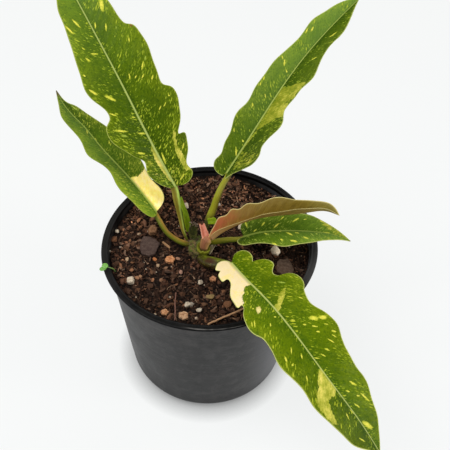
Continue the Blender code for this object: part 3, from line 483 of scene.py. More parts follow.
# Marks placed one by one, drawn in the same view: a dash has its two ends, its width and its kind (y yellow-green,
# g soft green, c cream, b a brown scar). A patch has the half that it lies on (-1 left, 1 right), its outline and its
# tone by the midrib and by the margin, from 0 (cream) to 1 (olive yellow).
DASHES = {
    "leaf_a_blade": [
        (100.6, 0, 102.5, 10.8, 4, "y"), (95.1, 23, 95.4, 28, 1.5, "y"), (105.7, 23.6, 106.2, 30.6, 1.5, "y"),
        (72.5, 19.8, 79.5, 27, 2, "y"), (64.9, 25.5, 73.4, 33.8, 2, "y"), (116, 26, 116.1, 28.7, 1, "g"),
        (86, 38, 87.8, 38.9, 1, "g"), (82, 47.8, 84.6, 49.7, 1.2, "y"), (91, 54, 97.4, 54, 1.5, "y"),
        (86, 58.7, 89.7, 61.2, 1.8, "y"), (128.9, 38, 129.3, 42, 1.2, "y"), (143.3, 61.2, 141.7, 69.5, 1.5, "y"),
        (145.6, 56, 144.8, 60, 1.2, "g"), (129, 73.3, 130, 79.7, 1.2, "y"), (136.6, 75.3, 135, 78.4, 1.2, "y"),
        (143.6, 74, 142, 78, 1.3, "y"), (153, 75.3, 151.6, 79.7, 1.4, "y"), (83.4, 75.3, 84.6, 76.5, 1.8, "y"),
        (89.5, 90, 97.4, 95, 2.3, "y"), (104.8, 95.7, 115.5, 100.8, 2.8, "y"), (109.5, 113.5, 116, 115.8, 1.5, "y"),
        (114.6, 130.7, 126.7, 131.6, 2, "y"), (137.6, 133.3, 145.9, 133.7, 1.6, "y"),
        (121.6, 135.2, 126.7, 136.5, 2, "g"), (131.8, 117.1, 135, 117.6, 1.1, "y"), (168.4, 95, 169.4, 95.6, 1.4, "y"),
        (165.6, 102.7, 163.7, 106.5, 1, "y"), (160.9, 105.9, 158.9, 110.3, 1, "y"), (143.3, 99.5, 141.6, 102, 1.4, "g"),
        (158.6, 125, 158, 128, 1.2, "y"), (137.6, 153, 144.6, 153.7, 2, "y"), (184.1, 142.9, 182.2, 149.2, 1.6, "y"),
        (184.1, 173.5, 180.3, 179.8, 2, "y"), (172.6, 170.3, 171.4, 173.5, 1.8, "g"),
        (161.8, 153, 165.6, 163.3, 1.8, "y"), (165, 180, 167.6, 185, 1.5, "g"), (130.4, 24.4, 131.8, 25.8, 2.2, "b"),
    ],
    "leaf_b_blade": [
        (94.8, 137.8, 95.1, 141.6, 1.2, "y"), (86.6, 130, 87.4, 134, 1.4, "y"), (108.9, 140.3, 109.5, 144.1, 1, "y"),
        (71.3, 105.9, 78.3, 111, 1.6, "g"),
    ],
    "leaf_c_blade": [
        (336.3, 32.7, 329.6, 37.6, 1.5, "y"), (317, 57, 312, 60, 1, "y"), (307.8, 28.5, 305.4, 32.7, 1.8, "y"),
        (313.3, 27.3, 311.5, 30.9, 2, "y"), (284.8, 59.4, 284.5, 66, 1.8, "y"), (282.4, 55.7, 283, 59.4, 1.3, "y"),
        (286, 69.7, 287.2, 72.7, 1.2, "y"), (264.2, 76.3, 263.6, 79.4, 1.5, "y"), (260.6, 82.4, 260, 85.4, 1.3, "y"),
        (252.5, 103, 253, 106.4, 1.6, "y"), (264.8, 93.9, 265.8, 98, 1.2, "y"), (242.4, 140, 243.4, 141.8, 1.7, "y"),
        (236.1, 147.8, 236.4, 156.3, 1.6, "y"), (233.9, 128.4, 234.2, 132, 1, "y"), (281, 109, 286, 107.6, 3.2, "y"),
    ],
    "leaf_e_blade": [
        (298.4, 218.4, 293, 221.7, 1.9, "y"), (278.9, 223.4, 274, 227.9, 1.7, "y"), (283.8, 216.9, 281, 219.5, 1.3, "y"),
        (264.8, 222.5, 262.1, 225.8, 1.5, "y"), (256.1, 229.6, 254, 231.7, 1.5, "y"), (307, 219, 303.8, 219.8, 1, "y"),
        (320.1, 220.9, 324.4, 222.5, 1.8, "y"), (322.3, 225.2, 329.9, 225.2, 1.6, "y"),
        (245.3, 221.4, 246.9, 226.9, 1.5, "y"), (287, 232.8, 292.5, 235.5, 2.1, "y"),
        (295.2, 232.8, 299.5, 233.6, 1.1, "y"), (323.9, 232.8, 328.8, 235.5, 1.8, "y"),
        (279.3, 231.9, 280.5, 232, 1.5, "y"), (264.8, 233.4, 267, 234.4, 1.6, "y"), (280.5, 239.3, 282.7, 240.4, 1.8, "y"),
        (303.8, 237.2, 308.2, 238.8, 2, "y"), (290.8, 240.4, 296.8, 242, 2.2, "y"), (272.4, 243.1, 276.7, 244.8, 1.6, "y"),
    ],
    "leaf_f_blade": [
        (258.5, 308, 258.5, 312.6, 4.4, "c"), (310.2, 317.8, 317, 318.4, 5, "y"), (319.8, 317.2, 325.4, 317.4, 4.2, "y"),
        (363, 421.8, 371.6, 428, 4.4, "y"), (298.5, 297.6, 302.5, 298.9, 1.2, "y"), (303, 324.7, 305.8, 324.9, 1.5, "y"),
        (312.3, 326.1, 317.2, 326.7, 1.3, "y"), (316.5, 331.5, 319.6, 331.9, 1.4, "y"),
        (323.9, 323.7, 327.9, 324.4, 1.1, "y"), (331.9, 330.4, 336, 331.8, 1.8, "y"), (327.9, 339, 334.6, 343, 1.5, "y"),
        (331.9, 334.4, 336.6, 337.8, 1, "y"), (324.6, 348.5, 329.3, 350.5, 1.6, "y"),
        (320.6, 353.9, 325.3, 356.3, 1.3, "y"), (313.9, 357.9, 318.6, 358.4, 1.1, "y"), (278.4, 282.2, 285, 282.9, 2, "g"),
        (291, 320, 294.4, 320.4, 1.6, "y"), (349.4, 381.3, 356, 385.3, 2.2, "y"), (346, 390.7, 349.4, 392, 1.5, "y"),
        (356.7, 395.4, 359.4, 396, 1.6, "y"), (360.8, 393.4, 369.5, 401.4, 1.8, "y"), (354, 403.4, 359.4, 407.4, 1.4, "y"),
        (350, 410, 354, 412.8, 1.3, "y"), (251.6, 323, 252.5, 327, 1.4, "y"), (254.3, 321, 254.9, 327, 1.1, "y"),
        (270.3, 323, 270.7, 326.4, 1.2, "y"), (274.4, 317, 275.6, 317, 1.5, "y"), (252.3, 309, 253.5, 309, 1.5, "y"),
        (291.1, 347.2, 291.4, 353.9, 1.2, "y"), (301.1, 353.9, 302, 358.6, 1.2, "y"), (284.7, 356.5, 286.8, 362.6, 1.7, "y"),
        (306.5, 375.3, 307.2, 382, 1.3, "y"), (291.8, 365.3, 293, 365.3, 1.5, "y"), (346, 412.8, 348.7, 419.5, 1.2, "y"),
        (359.4, 438.3, 364.8, 441.6, 1.3, "y"), (259.6, 291.6, 260.3, 296.3, 1.2, "y"),
    ],
}
PATCHES = {
    "leaf_a_blade": [
        dict(side=-1, tone=(0.62, 0.52), outline=[
            (149.7, 140.3), (151, 150.5), (155.4, 160.7), (159.9, 168.4), (165.6, 176), (168.8, 181), (174, 185),
            (168, 173.3), (160.7, 160.7), (155.5, 151)]),
        dict(side=1, tone=(0.7, 0.7), outline=[
            (173.3, 128.8), (172.7, 137.8), (175.2, 150.5), (179.7, 160.7), (186, 170.9), (191.8, 168.4), (186, 160.7),
            (181.6, 151.8), (177.1, 144.1), (175.2, 132.7)]),
        dict(side=1, tone=(0.68, 0.62), cover=0.36, outline=[
            (168, 168), (171, 178), (175.5, 184.5), (184, 182.5), (190, 176), (186, 171.5), (178, 168), (172, 164)]),
        dict(side=-1, tone=(0.70, 0.64), cover=0.34, outline=[
            (146, 150), (140, 152), (146, 166), (153, 177), (162, 183.5), (166, 181), (158, 170), (150, 160)]),
    ],
    "leaf_b_blade": [
        dict(side=1, tone=(0.46, 0.30), outline=[
            (144, 169), (138.2, 176.7), (131.8, 176), (129.9, 178.6), (137, 188), (145, 198), (152.5, 208), (158, 212),
            (166, 206), (167, 197), (162, 185), (153, 176)]),
        dict(side=1, tone=(0.8, 0.7), cover=0.3, outline=[(146, 165), (138, 160), (130, 164), (127, 172), (130, 178), (138, 176)]),
        dict(side=-1, tone=(0.90, 0.80), cover=0.34, outline=[
            (118, 172), (112, 168), (107, 172), (114, 184), (124, 195), (136, 207), (146, 215), (152, 214), (143, 203), (130, 188)]),
        dict(side=1, tone=(0.8, 0.74), cover=0.34, outline=[(74, 108), (78, 116.5), (84, 119.5), (87, 115), (80, 107)]),
    ],
    "leaf_c_blade": [
        dict(side=1, tone=(0.96, 0.74), outline=[
            (282.4, 88.5), (287.2, 87.2), (291.5, 86), (297, 83.6), (305.4, 82.4), (306, 83.6), (301, 89.7), (296.3, 94),
            (295, 98), (285, 103), (288.5, 103), (286.6, 109), (284.8, 111.5), (282.4, 116.3), (275, 118.7),
            (267.9, 123.6), (259.4, 129), (256, 130), (270, 107)]),
        dict(side=1, tone=(0.88, 0.84), outline=[
            (257, 130.3), (257.4, 131.0), (251.5, 138.8), (246.2, 145.9), (241.5, 153), (236, 160), (246, 145)]),
        dict(side=1, tone=(0.84, 0.74), cover=0.52, outline=[
            (241.5, 152.5), (247.5, 151.5), (256, 152.5), (259.5, 154.5), (255, 160), (248.5, 164.5), (240, 168.5),
            (233, 171), (236.5, 162)]),
    ],
    "leaf_e_blade": [
        dict(side=-1, tone=(0.78, 0.7), cover=0.6, outline=[(322, 222), (334.2, 226.9), (340.7, 231.2), (348, 237), (343.8, 239.2), (336.4, 235.4), (328, 230)]),
        dict(side=1, tone=(0.85, 0.75), cover=0.3, outline=[(330, 236), (344, 239.5), (347, 240.6), (336, 241.5), (318, 243), (316, 239)]),
    ],
    "leaf_f_blade": [
        dict(side=1, tone=(0.12, 0.1), outline=[
            (229, 259), (240, 272), (251.6, 285.5), (246.2, 286.2), (244.2, 288.9), (243.5, 291.6), (244.2, 293.6),
            (242.2, 295.6), (242.6, 299), (243.5, 301.6), (243.5, 304.3), (240.5, 310), (228, 302), (227, 288), (212, 282),
            (212, 262), (222, 257)]),
        dict(side=-1, tone=(0.76, 0.76), outline=[
            (285.7, 287.6), (280.4, 290.9), (278.4, 297.6), (277.7, 303), (274.3, 306.3), (277, 309.7), (279.7, 312.3),
            (281, 308.3), (281.7, 303), (284.4, 299), (285.7, 290.9)]),
        dict(side=1, tone=(0.7, 0.66), outline=[
            (317.9, 367.3), (325.9, 376.6), (334, 388.7), (335.3, 394), (334.6, 398), (331.9, 396), (330.6, 399.4),
            (328.6, 400.8), (330.6, 408.8), (334, 416.8), (338, 425.5), (332, 423.5), (325.9, 418.2), (320.6, 410),
            (317.2, 403.4), (316.5, 394), (318.6, 386), (317.2, 379.3)]),
    ],
}


def to_outline(points, polygon):
    """Signed distance of points to a closed outline, above 0 inside."""
    polygon = np.asarray(polygon, float)
    nearest, inside = np.full(len(points), 1e9), np.zeros(len(points), bool)
    for a, b in zip(polygon, np.roll(polygon, -1, 0)):
        d = b - a
        t = np.clip(((points - a) @ d) / max(d @ d, 1e-9), 0, 1)
        nearest = np.minimum(nearest, np.linalg.norm(points - a - t[:, None] * d, axis=1))
        crosses = (a[1] > points[:, 1]) != (b[1] > points[:, 1])
        with np.errstate(divide="ignore", invalid="ignore"):
            inside ^= crosses & (points[:, 0] < a[0] + (points[:, 1] - a[1]) * d[0] / d[1])
    return np.where(inside, nearest, -nearest)


def make_blade(name, rows=280, thick=0.5, ridge=(1.9, 1.2, 0.35), wave=0.0, seed=1):
    """A closed blade: its upper and lower faces over one grid, joined round the margin."""
    spec = BLADES[name]
    surface = Surface(spec)
    length = surface.length
    edges = {}
    for side, key in ((-1, "left"), (1, "right")):
        stations = surface.stations(spec[key], side)
        edges[side] = spline(stations + [(length, 0.3)], rows)[0]
    wanted = sum(np.clip(s[:, 0] - 0.35 * s[:, 1], 0, length) for s in edges.values()) / 2
    share = np.linspace(0, 1, rows)
    middle = 0.96 * np.maximum.accumulate(wanted) + 0.04 * share * length
    middle += share * (length - middle[-1])
    kernel = np.hanning(9) / np.hanning(9).sum()
    padded = np.concatenate([np.full(4, middle[0]), middle, np.full(4, middle[-1])])
    middle = np.maximum.accumulate(np.convolve(padded, kernel, "valid"))
    half = np.concatenate([[0.012, 0.03, 0.055, 0.09], np.linspace(0.13, 0.93, 20), [0.96, 0.985, 1.0]])
    columns = [(-1, f) for f in half[::-1]] + [(1, 0.0)] + [(1, f) for f in half]
    random = np.random.default_rng(seed)
    phase = random.uniform(0, 6.28, 4)
    spots, alongs, outs, shares, inner = [], [], [], [], []
    for side, f in columns:
        edge = edges[side]
        along = middle * (1 - f) + edge[:, 0] * f
        away = np.maximum(edge[:, 1], 0.25) * f
        spots.append(surface.at(along, away, side))
        alongs.append(along)
        outs.append(side * away)
        shares.append(np.full(rows, f))
        inner.append(np.maximum(edge[:, 1], 0.25) * (1 - f))
    grid, along, out, share, inner = (np.stack(v, 1) for v in (spots, alongs, outs, shares, inner))
    across = np.gradient(grid, axis=1)
    onward = np.gradient(grid, axis=0)
    normal = np.cross(onward, across)
    size = np.linalg.norm(normal, axis=2, keepdims=True)
    normal = np.where(size > 1e-9, normal / np.maximum(size, 1e-9), 0)
    face = np.stack([np.interp(np.clip(along, 0, length), surface.along, surface.face[:, j]) for j in range(3)], -1)
    flip = np.sign((normal * face).sum(2, keepdims=True))
    normal = normal * np.where(flip == 0, 1, flip)
    # waves of the margin and pleats between the side veins
    wide = np.abs(out)
    vein = along - 0.62 * wide - 0.016 * wide**2 * (0.4 + along / length)
    lap = 2 * math.pi * along / 46
    rise = wave * share**3 * (np.sin(lap + phase[0] + (out > 0) * 2.1) + 0.5 * np.sin(2.3 * lap + phase[1] + (out > 0)))
    rise *= smooth(wide, 2, 12)
    rise += 0.10 * np.sin(2 * math.pi * vein / 7.3 + phase[2]) * smooth(wide, 1.5, 5) * (1 - 0.7 * share**4)
    grid = grid + normal * rise[..., None]
    # the midrib: a low line above and a round ridge below
    radius = np.interp(np.clip(along, 0, length) / length, (0, 0.5, 1), ridge)
    keel = np.sqrt(np.clip(1 - (out / radius) ** 2, 0, 1)) * radius
    taper = smooth(length - along, 0, 14)
    thin = thick * (0.35 + 0.65 * smooth(inner, 0, 2.0)) * 0.5
    top = grid + normal * (thin + 0.16 * keel * taper)[..., None]
    low = grid - normal * (thin + 0.75 * keel * taper)[..., None]
    count = rows * len(columns)
    points = np.concatenate([top.reshape(-1, 3), low.reshape(-1, 3)])
    faces = [grid_faces(rows, len(columns)), grid_faces(rows, len(columns), count, True)]
    wide_n = len(columns)
    ring = [c for c in range(wide_n)] + [r * wide_n + wide_n - 1 for r in range(1, rows)]
    ring += [(rows - 1) * wide_n + c for c in range(wide_n - 2, -1, -1)] + [r * wide_n for r in range(rows - 2, 0, -1)]
    ring = np.array(ring)
    after = np.roll(ring, -1)
    faces.append(np.stack([ring, ring + count, after + count, after], 1))
    faces = np.concatenate(faces)
    centre_top = np.cross(points[faces[0][1]] - points[faces[0][0]], points[faces[0][2]] - points[faces[0][0]])
    mid = (rows // 2) * wide_n + wide_n // 2
    quad = np.array([mid, mid + 1, mid + 1 + wide_n, mid + wide_n])
    test = np.cross(points[quad[1]] - points[quad[0]], points[quad[2]] - points[quad[0]])
    if test @ normal.reshape(-1, 3)[mid] < 0:
        faces = faces[:, ::-1]
    flat = np.stack([along.ravel(), out.ravel()], 1)
    patch, tone, cover = np.full(count, -30.0), np.zeros(count), np.ones(count)
    for entry in PATCHES.get(name, []):
        side = entry["side"]
        outline = []
        for x, y in entry["outline"]:
            a, w = surface.stations([(x, y)], side)[0]
            outline.append((a, side * (w if w > 1.2 else -1.5 * (side != 0))))
        inside = to_outline(flat, outline)
        inside = np.where(out.ravel() * side < -0.05, -np.maximum(np.abs(out.ravel()), 0.3), inside)
        shade = np.interp(share.ravel(), (0, 1), entry["tone"])
        nearer = inside > patch
        patch, tone = np.maximum(patch, inside), np.where(nearer, shade, tone)
        cover = np.where(nearer, entry.get("cover", 1.0), cover)
    both = lambda v: np.concatenate([np.ravel(v)] * 2)
    marks = dict(along=both(along), out=both(out), vein=both(vein), share=both(share), inner=both(inner),
                 patch=both(patch), tone=both(tone), cover=both(cover), under=np.concatenate([np.zeros(count), np.ones(count)]))
    obj = mesh_object(name + "_fine", points, faces, marks)
    return obj, surface


def blade_material(name, surface, green, seed, gloss, gain, glow, spread, painted_half_light):
    """Green with side veins, flecks and patches along them, a pale midrib and a thin pale margin."""
    t = Tree(name)
    green = [tuple(c * (gain if i < 4 else 1) for c in shade) for i, shade in enumerate(green)]
    along, out, vein = t.mark("along"), t.mark("out"), t.mark("vein")
    share, inner, patch, tone, under, cover = (t.mark(k) for k in ("share", "inner", "patch", "tone", "under", "cover"))
    wide = t.math("ABSOLUTE", out)
    flat = t.vector(along, out, float(seed * 10))
    shift = t.math("MULTIPLY_ADD", t.math("SIGN", out), 37.7, float(seed * 53))
    across = t.math("ADD", vein, shift)
    ribs = t.vector(across, t.math("MULTIPLY", wide, 0.3), float(seed))
    where = t.place()
    soft = t.noise(flat, 0.13, 3, 0.55)
    # green: broad changes; yellower and lighter towards the margin, partly the leaf's own tone and partly painted light
    # on the raised margins; darker in the crease by the midrib, which is painted shade
    colour = t.mix(t.step(t.noise(flat, 0.045, 2, 0.55), 0.3, 0.72), green[0], green[1])
    rise = t.step(t.math("ADD", share, t.math("MULTIPLY_ADD", soft, 1.1, -0.55)), 0.35, 1.1)
    colour = t.mix(t.math("MULTIPLY", rise, 0.6), colour, green[2])
    # painted shade: darker in the crease along the midrib
    painted_fold_shade = t.math("SUBTRACT", 1.0, t.step(t.math("ADD", wide, t.math("MULTIPLY_ADD", soft, 5.0, -2.5)), 0.4, 6.5))
    colour = t.mix(t.math("MULTIPLY", painted_fold_shade, 0.55), colour, green[3])
    # fine mottling, some of it along the side veins
    spot = t.noise(flat, 0.75, 3, 0.65)
    grain = t.noise(ribs, 0.95, 3, 0.65)
    colour = t.mix(t.math("MULTIPLY", t.step(spot, 0.48, 0.68), 0.75), colour, green[3])
    colour = t.mix(t.math("MULTIPLY", t.step(grain, 0.5, 0.78), 0.6), colour, green[2])
    # painted light and shade: each half of the blade is made lighter or darker along its length
    split, run = t.step(out, -0.8, 0.8), t.math("DIVIDE", along, surface.length)
    far = t.math("POWER", t.math("MAXIMUM", run, 0.0), 2.0 if name == "leaf_a_blade" else 1.0)
    light = t.math("ADD", t.math("MULTIPLY", t.span(far, 0, 1, painted_half_light[0], painted_half_light[1]), t.math("SUBTRACT", 1.0, split)), t.math("MULTIPLY", t.span(far, 0, 1, painted_half_light[2], painted_half_light[3]), split))
    colour = t.times(colour, t.grey(light))
    # painted sheen: where a half is made lighter it also turns towards a pale grey-green
    colour = t.mix(t.math("MULTIPLY", t.math("SUBTRACT", light, 1.0, clamp=True), 0.14 if name == "leaf_b_blade" else 0.5), colour, srgb(110, 132, 66))
    # small flecks: cells drawn out along the side veins, some of which show
    crowd = t.math("ADD", t.noise(flat, 0.075, 2, 0.6), t.math("MULTIPLY", t.step(patch, -7.0, 0.0), 0.05 if name == "leaf_c_blade" else 0.10))
    crowd = t.math("ADD", crowd, t.math("MULTIPLY", t.math("SUBTRACT", 1.0, t.step(run, 0.10, 0.42)), 0.01 if name == "leaf_c_blade" else 0.08))
    crowd = t.math("ADD", crowd, t.math("MULTIPLY_ADD", t.step(share, 0.45, 0.9), 0.08, -0.05 + spread))
    dark = tuple(c * 0.62 for c in green[3])
    bright = tuple(0.5 * (a + b) for a, b in zip(green[7], green[4]))
    layers = (
        # cells per mm, how drawn out, size, least and most that show, strength, colour
        (1.30, 0.60, 0.34, 0.46, 0.80, 0.45, dark),
        (1.25, 0.60, 0.34, 0.36, 0.86, 0.62, green[7]),
        (0.80, 0.46, 0.30, 0.30, 0.98, 1.0, bright),
        (0.46, 0.42, 0.22, 0.46, 1.08, 1.1, green[4]),
    )
    for scale, drawn, size, low, high, strength, shade in layers:
        cell = t.vector(t.math("MULTIPLY_ADD", grain, 0.7, across), t.math("MULTIPLY_ADD", spot, 0.5, t.math("MULTIPLY", wide, drawn)))
        gap, chance = t.cells(cell, scale, flat=True)
        luck = t.parts(chance)
        rim = t.math("MULTIPLY_ADD", luck[1], size * 0.7, size * 0.55)
        seen = t.step(t.math("SUBTRACT", rim, gap), -0.02, 0.07)
        need = t.span(crowd, 0.36, 0.64, high, low)
        shown = t.step(t.math("SUBTRACT", luck[0], need), 0.0, 0.05)
        full = t.math("MULTIPLY", t.math("MULTIPLY", seen, shown), t.math("MULTIPLY_ADD", luck[2], 0.5 * strength, 0.5 * strength))
        colour = t.mix(full, colour, shade)
    # larger dashes placed one by one
    warp = t.noise(flat, 0.9, 2, 0.6)
    bent = t.vector(
        t.math("MULTIPLY_ADD", warp, 1.1, t.math("ADD", along, -0.55)),
        t.math("MULTIPLY_ADD", t.noise(flat, 1.3, 2, 0.5), 0.9, t.math("ADD", out, -0.45)))
    groups = {}
    for x1, y1, x2, y2, width, kind in DASHES.get(name, []):
        a, b = (np.array(surface.leaf_place(x, y)) for x, y in ((x1, y1), (x2, y2)))
        if a[1] * b[1] < 0:
            b[1] = math.copysign(0.5, a[1])
        pixel = 0.76 * width / 2
        reach, run = np.linalg.norm(b - a) / 2 + pixel * 0.6, math.atan2(b[1] - a[1], b[0] - a[0])
        node = t.tree.nodes.new("ShaderNodeMapping")
        node.vector_type = "TEXTURE"
        node.inputs["Location"].default_value = (*(a + b) / 2, 0)
        node.inputs["Rotation"].default_value = (0, 0, run)
        node.inputs["Scale"].default_value = (reach, max(pixel, 0.42), 1)
        t.put(node.inputs["Vector"], bent)
        size = t.tree.nodes.new("ShaderNodeVectorMath")
        size.operation = "LENGTH"
        t.put(size.inputs[0], node.outputs[0])
        groups.setdefault(kind, []).append(size.outputs["Value"])
    for kind, sizes in groups.items():
        nearest = sizes[0]
        for other in sizes[1:]:
            nearest = t.math("MINIMUM", nearest, other)
        rough_edge = t.math("ADD", t.math("MULTIPLY_ADD", grain, 1.3, -0.65), t.math("MULTIPLY_ADD", spot, 0.9, -0.45))
        seen = t.math("SUBTRACT", 1.0, t.step(t.math("ADD", nearest, rough_edge), 0.75, 1.15))
        shade = {"y": (srgb(166, 174, 44), srgb(216, 208, 78)), "g": (srgb(124, 146, 46), srgb(154, 168, 64)), "c": (srgb(206, 190, 110), srgb(228, 214, 150)), "b": (srgb(96, 62, 30), srgb(130, 90, 50))}[kind]
        colour = t.mix(t.math("MULTIPLY", seen, 0.95), colour, t.mix(t.step(t.math("ADD", spot, t.math("MULTIPLY", nearest, -0.25)), 0.15, 0.5), *shade))
    # patches, with jagged edges that follow the side veins
    jag = t.math("ADD", t.math("MULTIPLY_ADD", t.noise(ribs, 0.9, 3, 0.7), 3.2, -1.6), t.math("MULTIPLY_ADD", t.noise(flat, 0.7, 2, 0.6), 1.6, -0.8))
    within = t.step(t.math("ADD", patch, t.math("MULTIPLY", jag, t.step(wide, 0.5, 3.0))), -0.15, 0.3)
    speck = t.noise(flat, 1.1, 3, 0.65)
    drift = t.math("MULTIPLY_ADD", t.noise(flat, 0.16, 3, 0.6), 0.9, -0.45)
    drift = t.math("MULTIPLY", t.math("ADD", drift, t.math("MULTIPLY_ADD", grain, 0.7, -0.35)), t.step(tone, 0.0, 0.6))
    fill = t.ramp(t.math("ADD", t.math("ADD", tone, drift), t.math("MULTIPLY_ADD", speck, 0.3, -0.15)), [
        (0.0, srgb(232, 214, 178)), (0.25, srgb(230, 208, 146)), (0.45, srgb(218, 200, 98)), (0.65, srgb(182, 178, 70)),
        (0.82, srgb(140, 144, 40)), (1.0, srgb(112, 122, 24))])
    left = t.math("ADD", t.step(grain, 0.56, 0.70), t.step(t.math("ADD", spot, t.math("MULTIPLY", patch, -0.05)), 0.46, 0.62), clamp=True)
    fill = t.mix(t.math("MULTIPLY", t.math("MULTIPLY", left, t.step(tone, 0.5, 0.8)), 0.5), fill, green[4])
    deep = t.step(t.math("ADD", t.noise(ribs, 0.7, 3, 0.7), t.math("MULTIPLY_ADD", spot, 0.4, -0.2)), 0.54, 0.64)
    fill = t.mix(t.math("MULTIPLY", t.math("MULTIPLY", deep, t.step(tone, 0.55, 0.85)), 0.75), fill, tuple(c * 1.25 for c in green[1]))
    pale = t.math("SUBTRACT", 1.0, t.step(tone, 0.3, 0.6))
    stain = t.step(t.math("ADD", t.noise(flat, 0.15, 3, 0.65), t.math("MULTIPLY_ADD", grain, 0.3, -0.15)), 0.47, 0.66)
    fill = t.mix(t.math("MULTIPLY", t.math("MULTIPLY", stain, pale), 0.55), fill, srgb(236, 216, 118))
    fill = t.mix(t.math("MULTIPLY", t.math("MULTIPLY", t.step(t.noise(flat, 1.2, 3, 0.7), 0.56, 0.68), pale), 0.4), fill, srgb(214, 176, 122))
    fill = t.times(fill, t.grey(glow))
    broken = t.math("MULTIPLY_ADD", grain, 0.65, t.math("MULTIPLY", t.noise(flat, 0.45, 3, 0.65), 0.35))
    kept = t.step(t.math("ADD", t.math("MULTIPLY_ADD", broken, 3.4, -1.7), cover), 0.50, 0.62)
    whole = t.step(cover, 0.9, 0.99)
    colour = t.mix(t.math("MULTIPLY", within, t.math("MAXIMUM", kept, whole)), colour, fill)
    # midrib and margin, with painted shade in the groove next to the midrib
    line = t.span(along, 0, surface.length, 1.0 if name == "leaf_f_blade" else 1.25, 0.38)
    rib = t.math("SUBTRACT", 1.0, t.step(t.math("DIVIDE", wide, line), 0.5, 1.1))
    # painted shade: a darker band along each side of the midrib
    rib_groove_shade = t.math("SUBTRACT", 1.0, t.step(t.math("DIVIDE", wide, line), 1.0, 2.6))
    colour = t.mix(t.math("MULTIPLY", rib_groove_shade, 0.35), colour, green[3])
    colour = t.mix(t.math("MULTIPLY", rib, t.span(along, 0, surface.length, 0.95, 0.75)), colour, green[5])
    rim = t.math("SUBTRACT", 1.0, t.step(t.math("ADD", inner, t.math("MULTIPLY_ADD", speck, 0.7, -0.35)), 0.25, 0.8))
    colour = t.mix(t.math("MULTIPLY", rim, 0.85), colour, green[6])
    # a dry brown tip
    dry = {"leaf_b_blade": (0.925, 0.975, 0.85), "leaf_e_blade": (0.975, 1.0, 0.7)}.get(name, (0.985, 1.0, 0.6))
    tip = t.step(t.math("DIVIDE", along, surface.length), dry[0], dry[1])
    colour = t.mix(t.math("MULTIPLY", tip, dry[2]), colour, srgb(84, 66, 48))
    # the lower face is paler and duller
    colour = t.mix(t.math("MULTIPLY", under, 0.45), colour, srgb(112, 128, 60))
    tall = t.math("ADD", t.math("MULTIPLY", grain, 0.7), t.math("MULTIPLY", t.noise(flat, 0.3, 3, 0.5), 1.6))
    normal = t.bump(tall, 0.22)
    normal = t.bump(t.noise(where, 2.2, 2, 0.5), 0.03, normal)
    rough = t.span(t.noise(flat, 0.25, 3, 0.6), 0.3, 0.7, 0.34, 0.48)
    rough = t.math("ADD", rough, t.math("MULTIPLY", under, 0.2))
    return t.done(colour, rough, normal, Specular_IOR_Level=gloss)


GREENS = {
    # dark, mid, yellower, shade, flecks, midrib, margin, small flecks
    "leaf_a_blade": [srgb(66, 90, 4), srgb(82, 106, 6), srgb(112, 130, 12), srgb(48, 76, 4), srgb(168, 178, 50), srgb(166, 178, 96), srgb(160, 168, 78), srgb(118, 142, 26)],
    "leaf_b_blade": [srgb(56, 80, 6), srgb(74, 98, 10), srgb(110, 126, 24), srgb(44, 68, 6), srgb(160, 166, 54), srgb(142, 158, 66), srgb(150, 160, 70), srgb(120, 140, 36)],
    "leaf_c_blade": [srgb(58, 82, 4), srgb(74, 96, 10), srgb(100, 118, 26), srgb(44, 70, 6), srgb(160, 172, 50), srgb(160, 172, 84), srgb(174, 182, 102), srgb(112, 136, 34)],
    "leaf_e_blade": [srgb(58, 84, 6), srgb(74, 100, 12), srgb(104, 124, 34), srgb(46, 72, 6), srgb(150, 164, 62), srgb(124, 140, 56), srgb(176, 178, 100), srgb(112, 138, 40)],
    "leaf_f_blade": [srgb(70, 92, 2), srgb(88, 110, 4), srgb(112, 128, 10), srgb(50, 80, 6), srgb(172, 178, 44), srgb(170, 178, 98), srgb(190, 194, 110), srgb(118, 142, 26)],
}


def make_leaves():
    # painted light and shade on each half: how much lighter or darker the left half is made at its base and tip, then
    # the right half
    for i, (name, wave, rows, gloss, gain, glow, spread, painted_half_light) in enumerate((
            ("leaf_a_blade", 0.8, 300, 0.05, 0.82, 1.0, -0.01, (0.90, 1.7, 0.80, 1.65)),
            ("leaf_b_blade", 0.5, 240, 0.07, 1.06, 1.45, -0.04, (1.66, 1.34, 1.7, 0.64)),
            ("leaf_c_blade", 0.6, 280, 0.04, 1.11, 1.0, -0.03, (0.85, 1.9, 0.62, 0.88)),
            ("leaf_e_blade", 0.3, 200, 0.05, 1.08, 1.0, 0.0, (0.68, 1.5, 0.66, 1.7)),
            ("leaf_f_blade", 0.5, 320, 0.04, 1.03, 1.0, -0.06, (0.95, 0.92, 1.13, 0.6)))):
        ridge = (1.1, 0.7, 0.3) if name == "leaf_e_blade" else (1.9, 1.1, 0.35)
        obj, surface = make_blade(name, rows, 0.5, ridge, wave, 10 + i)
        finished(obj, blade_material(name, surface, GREENS[name], 3 + i, gloss, gain, glow, spread, painted_half_light), name, name)


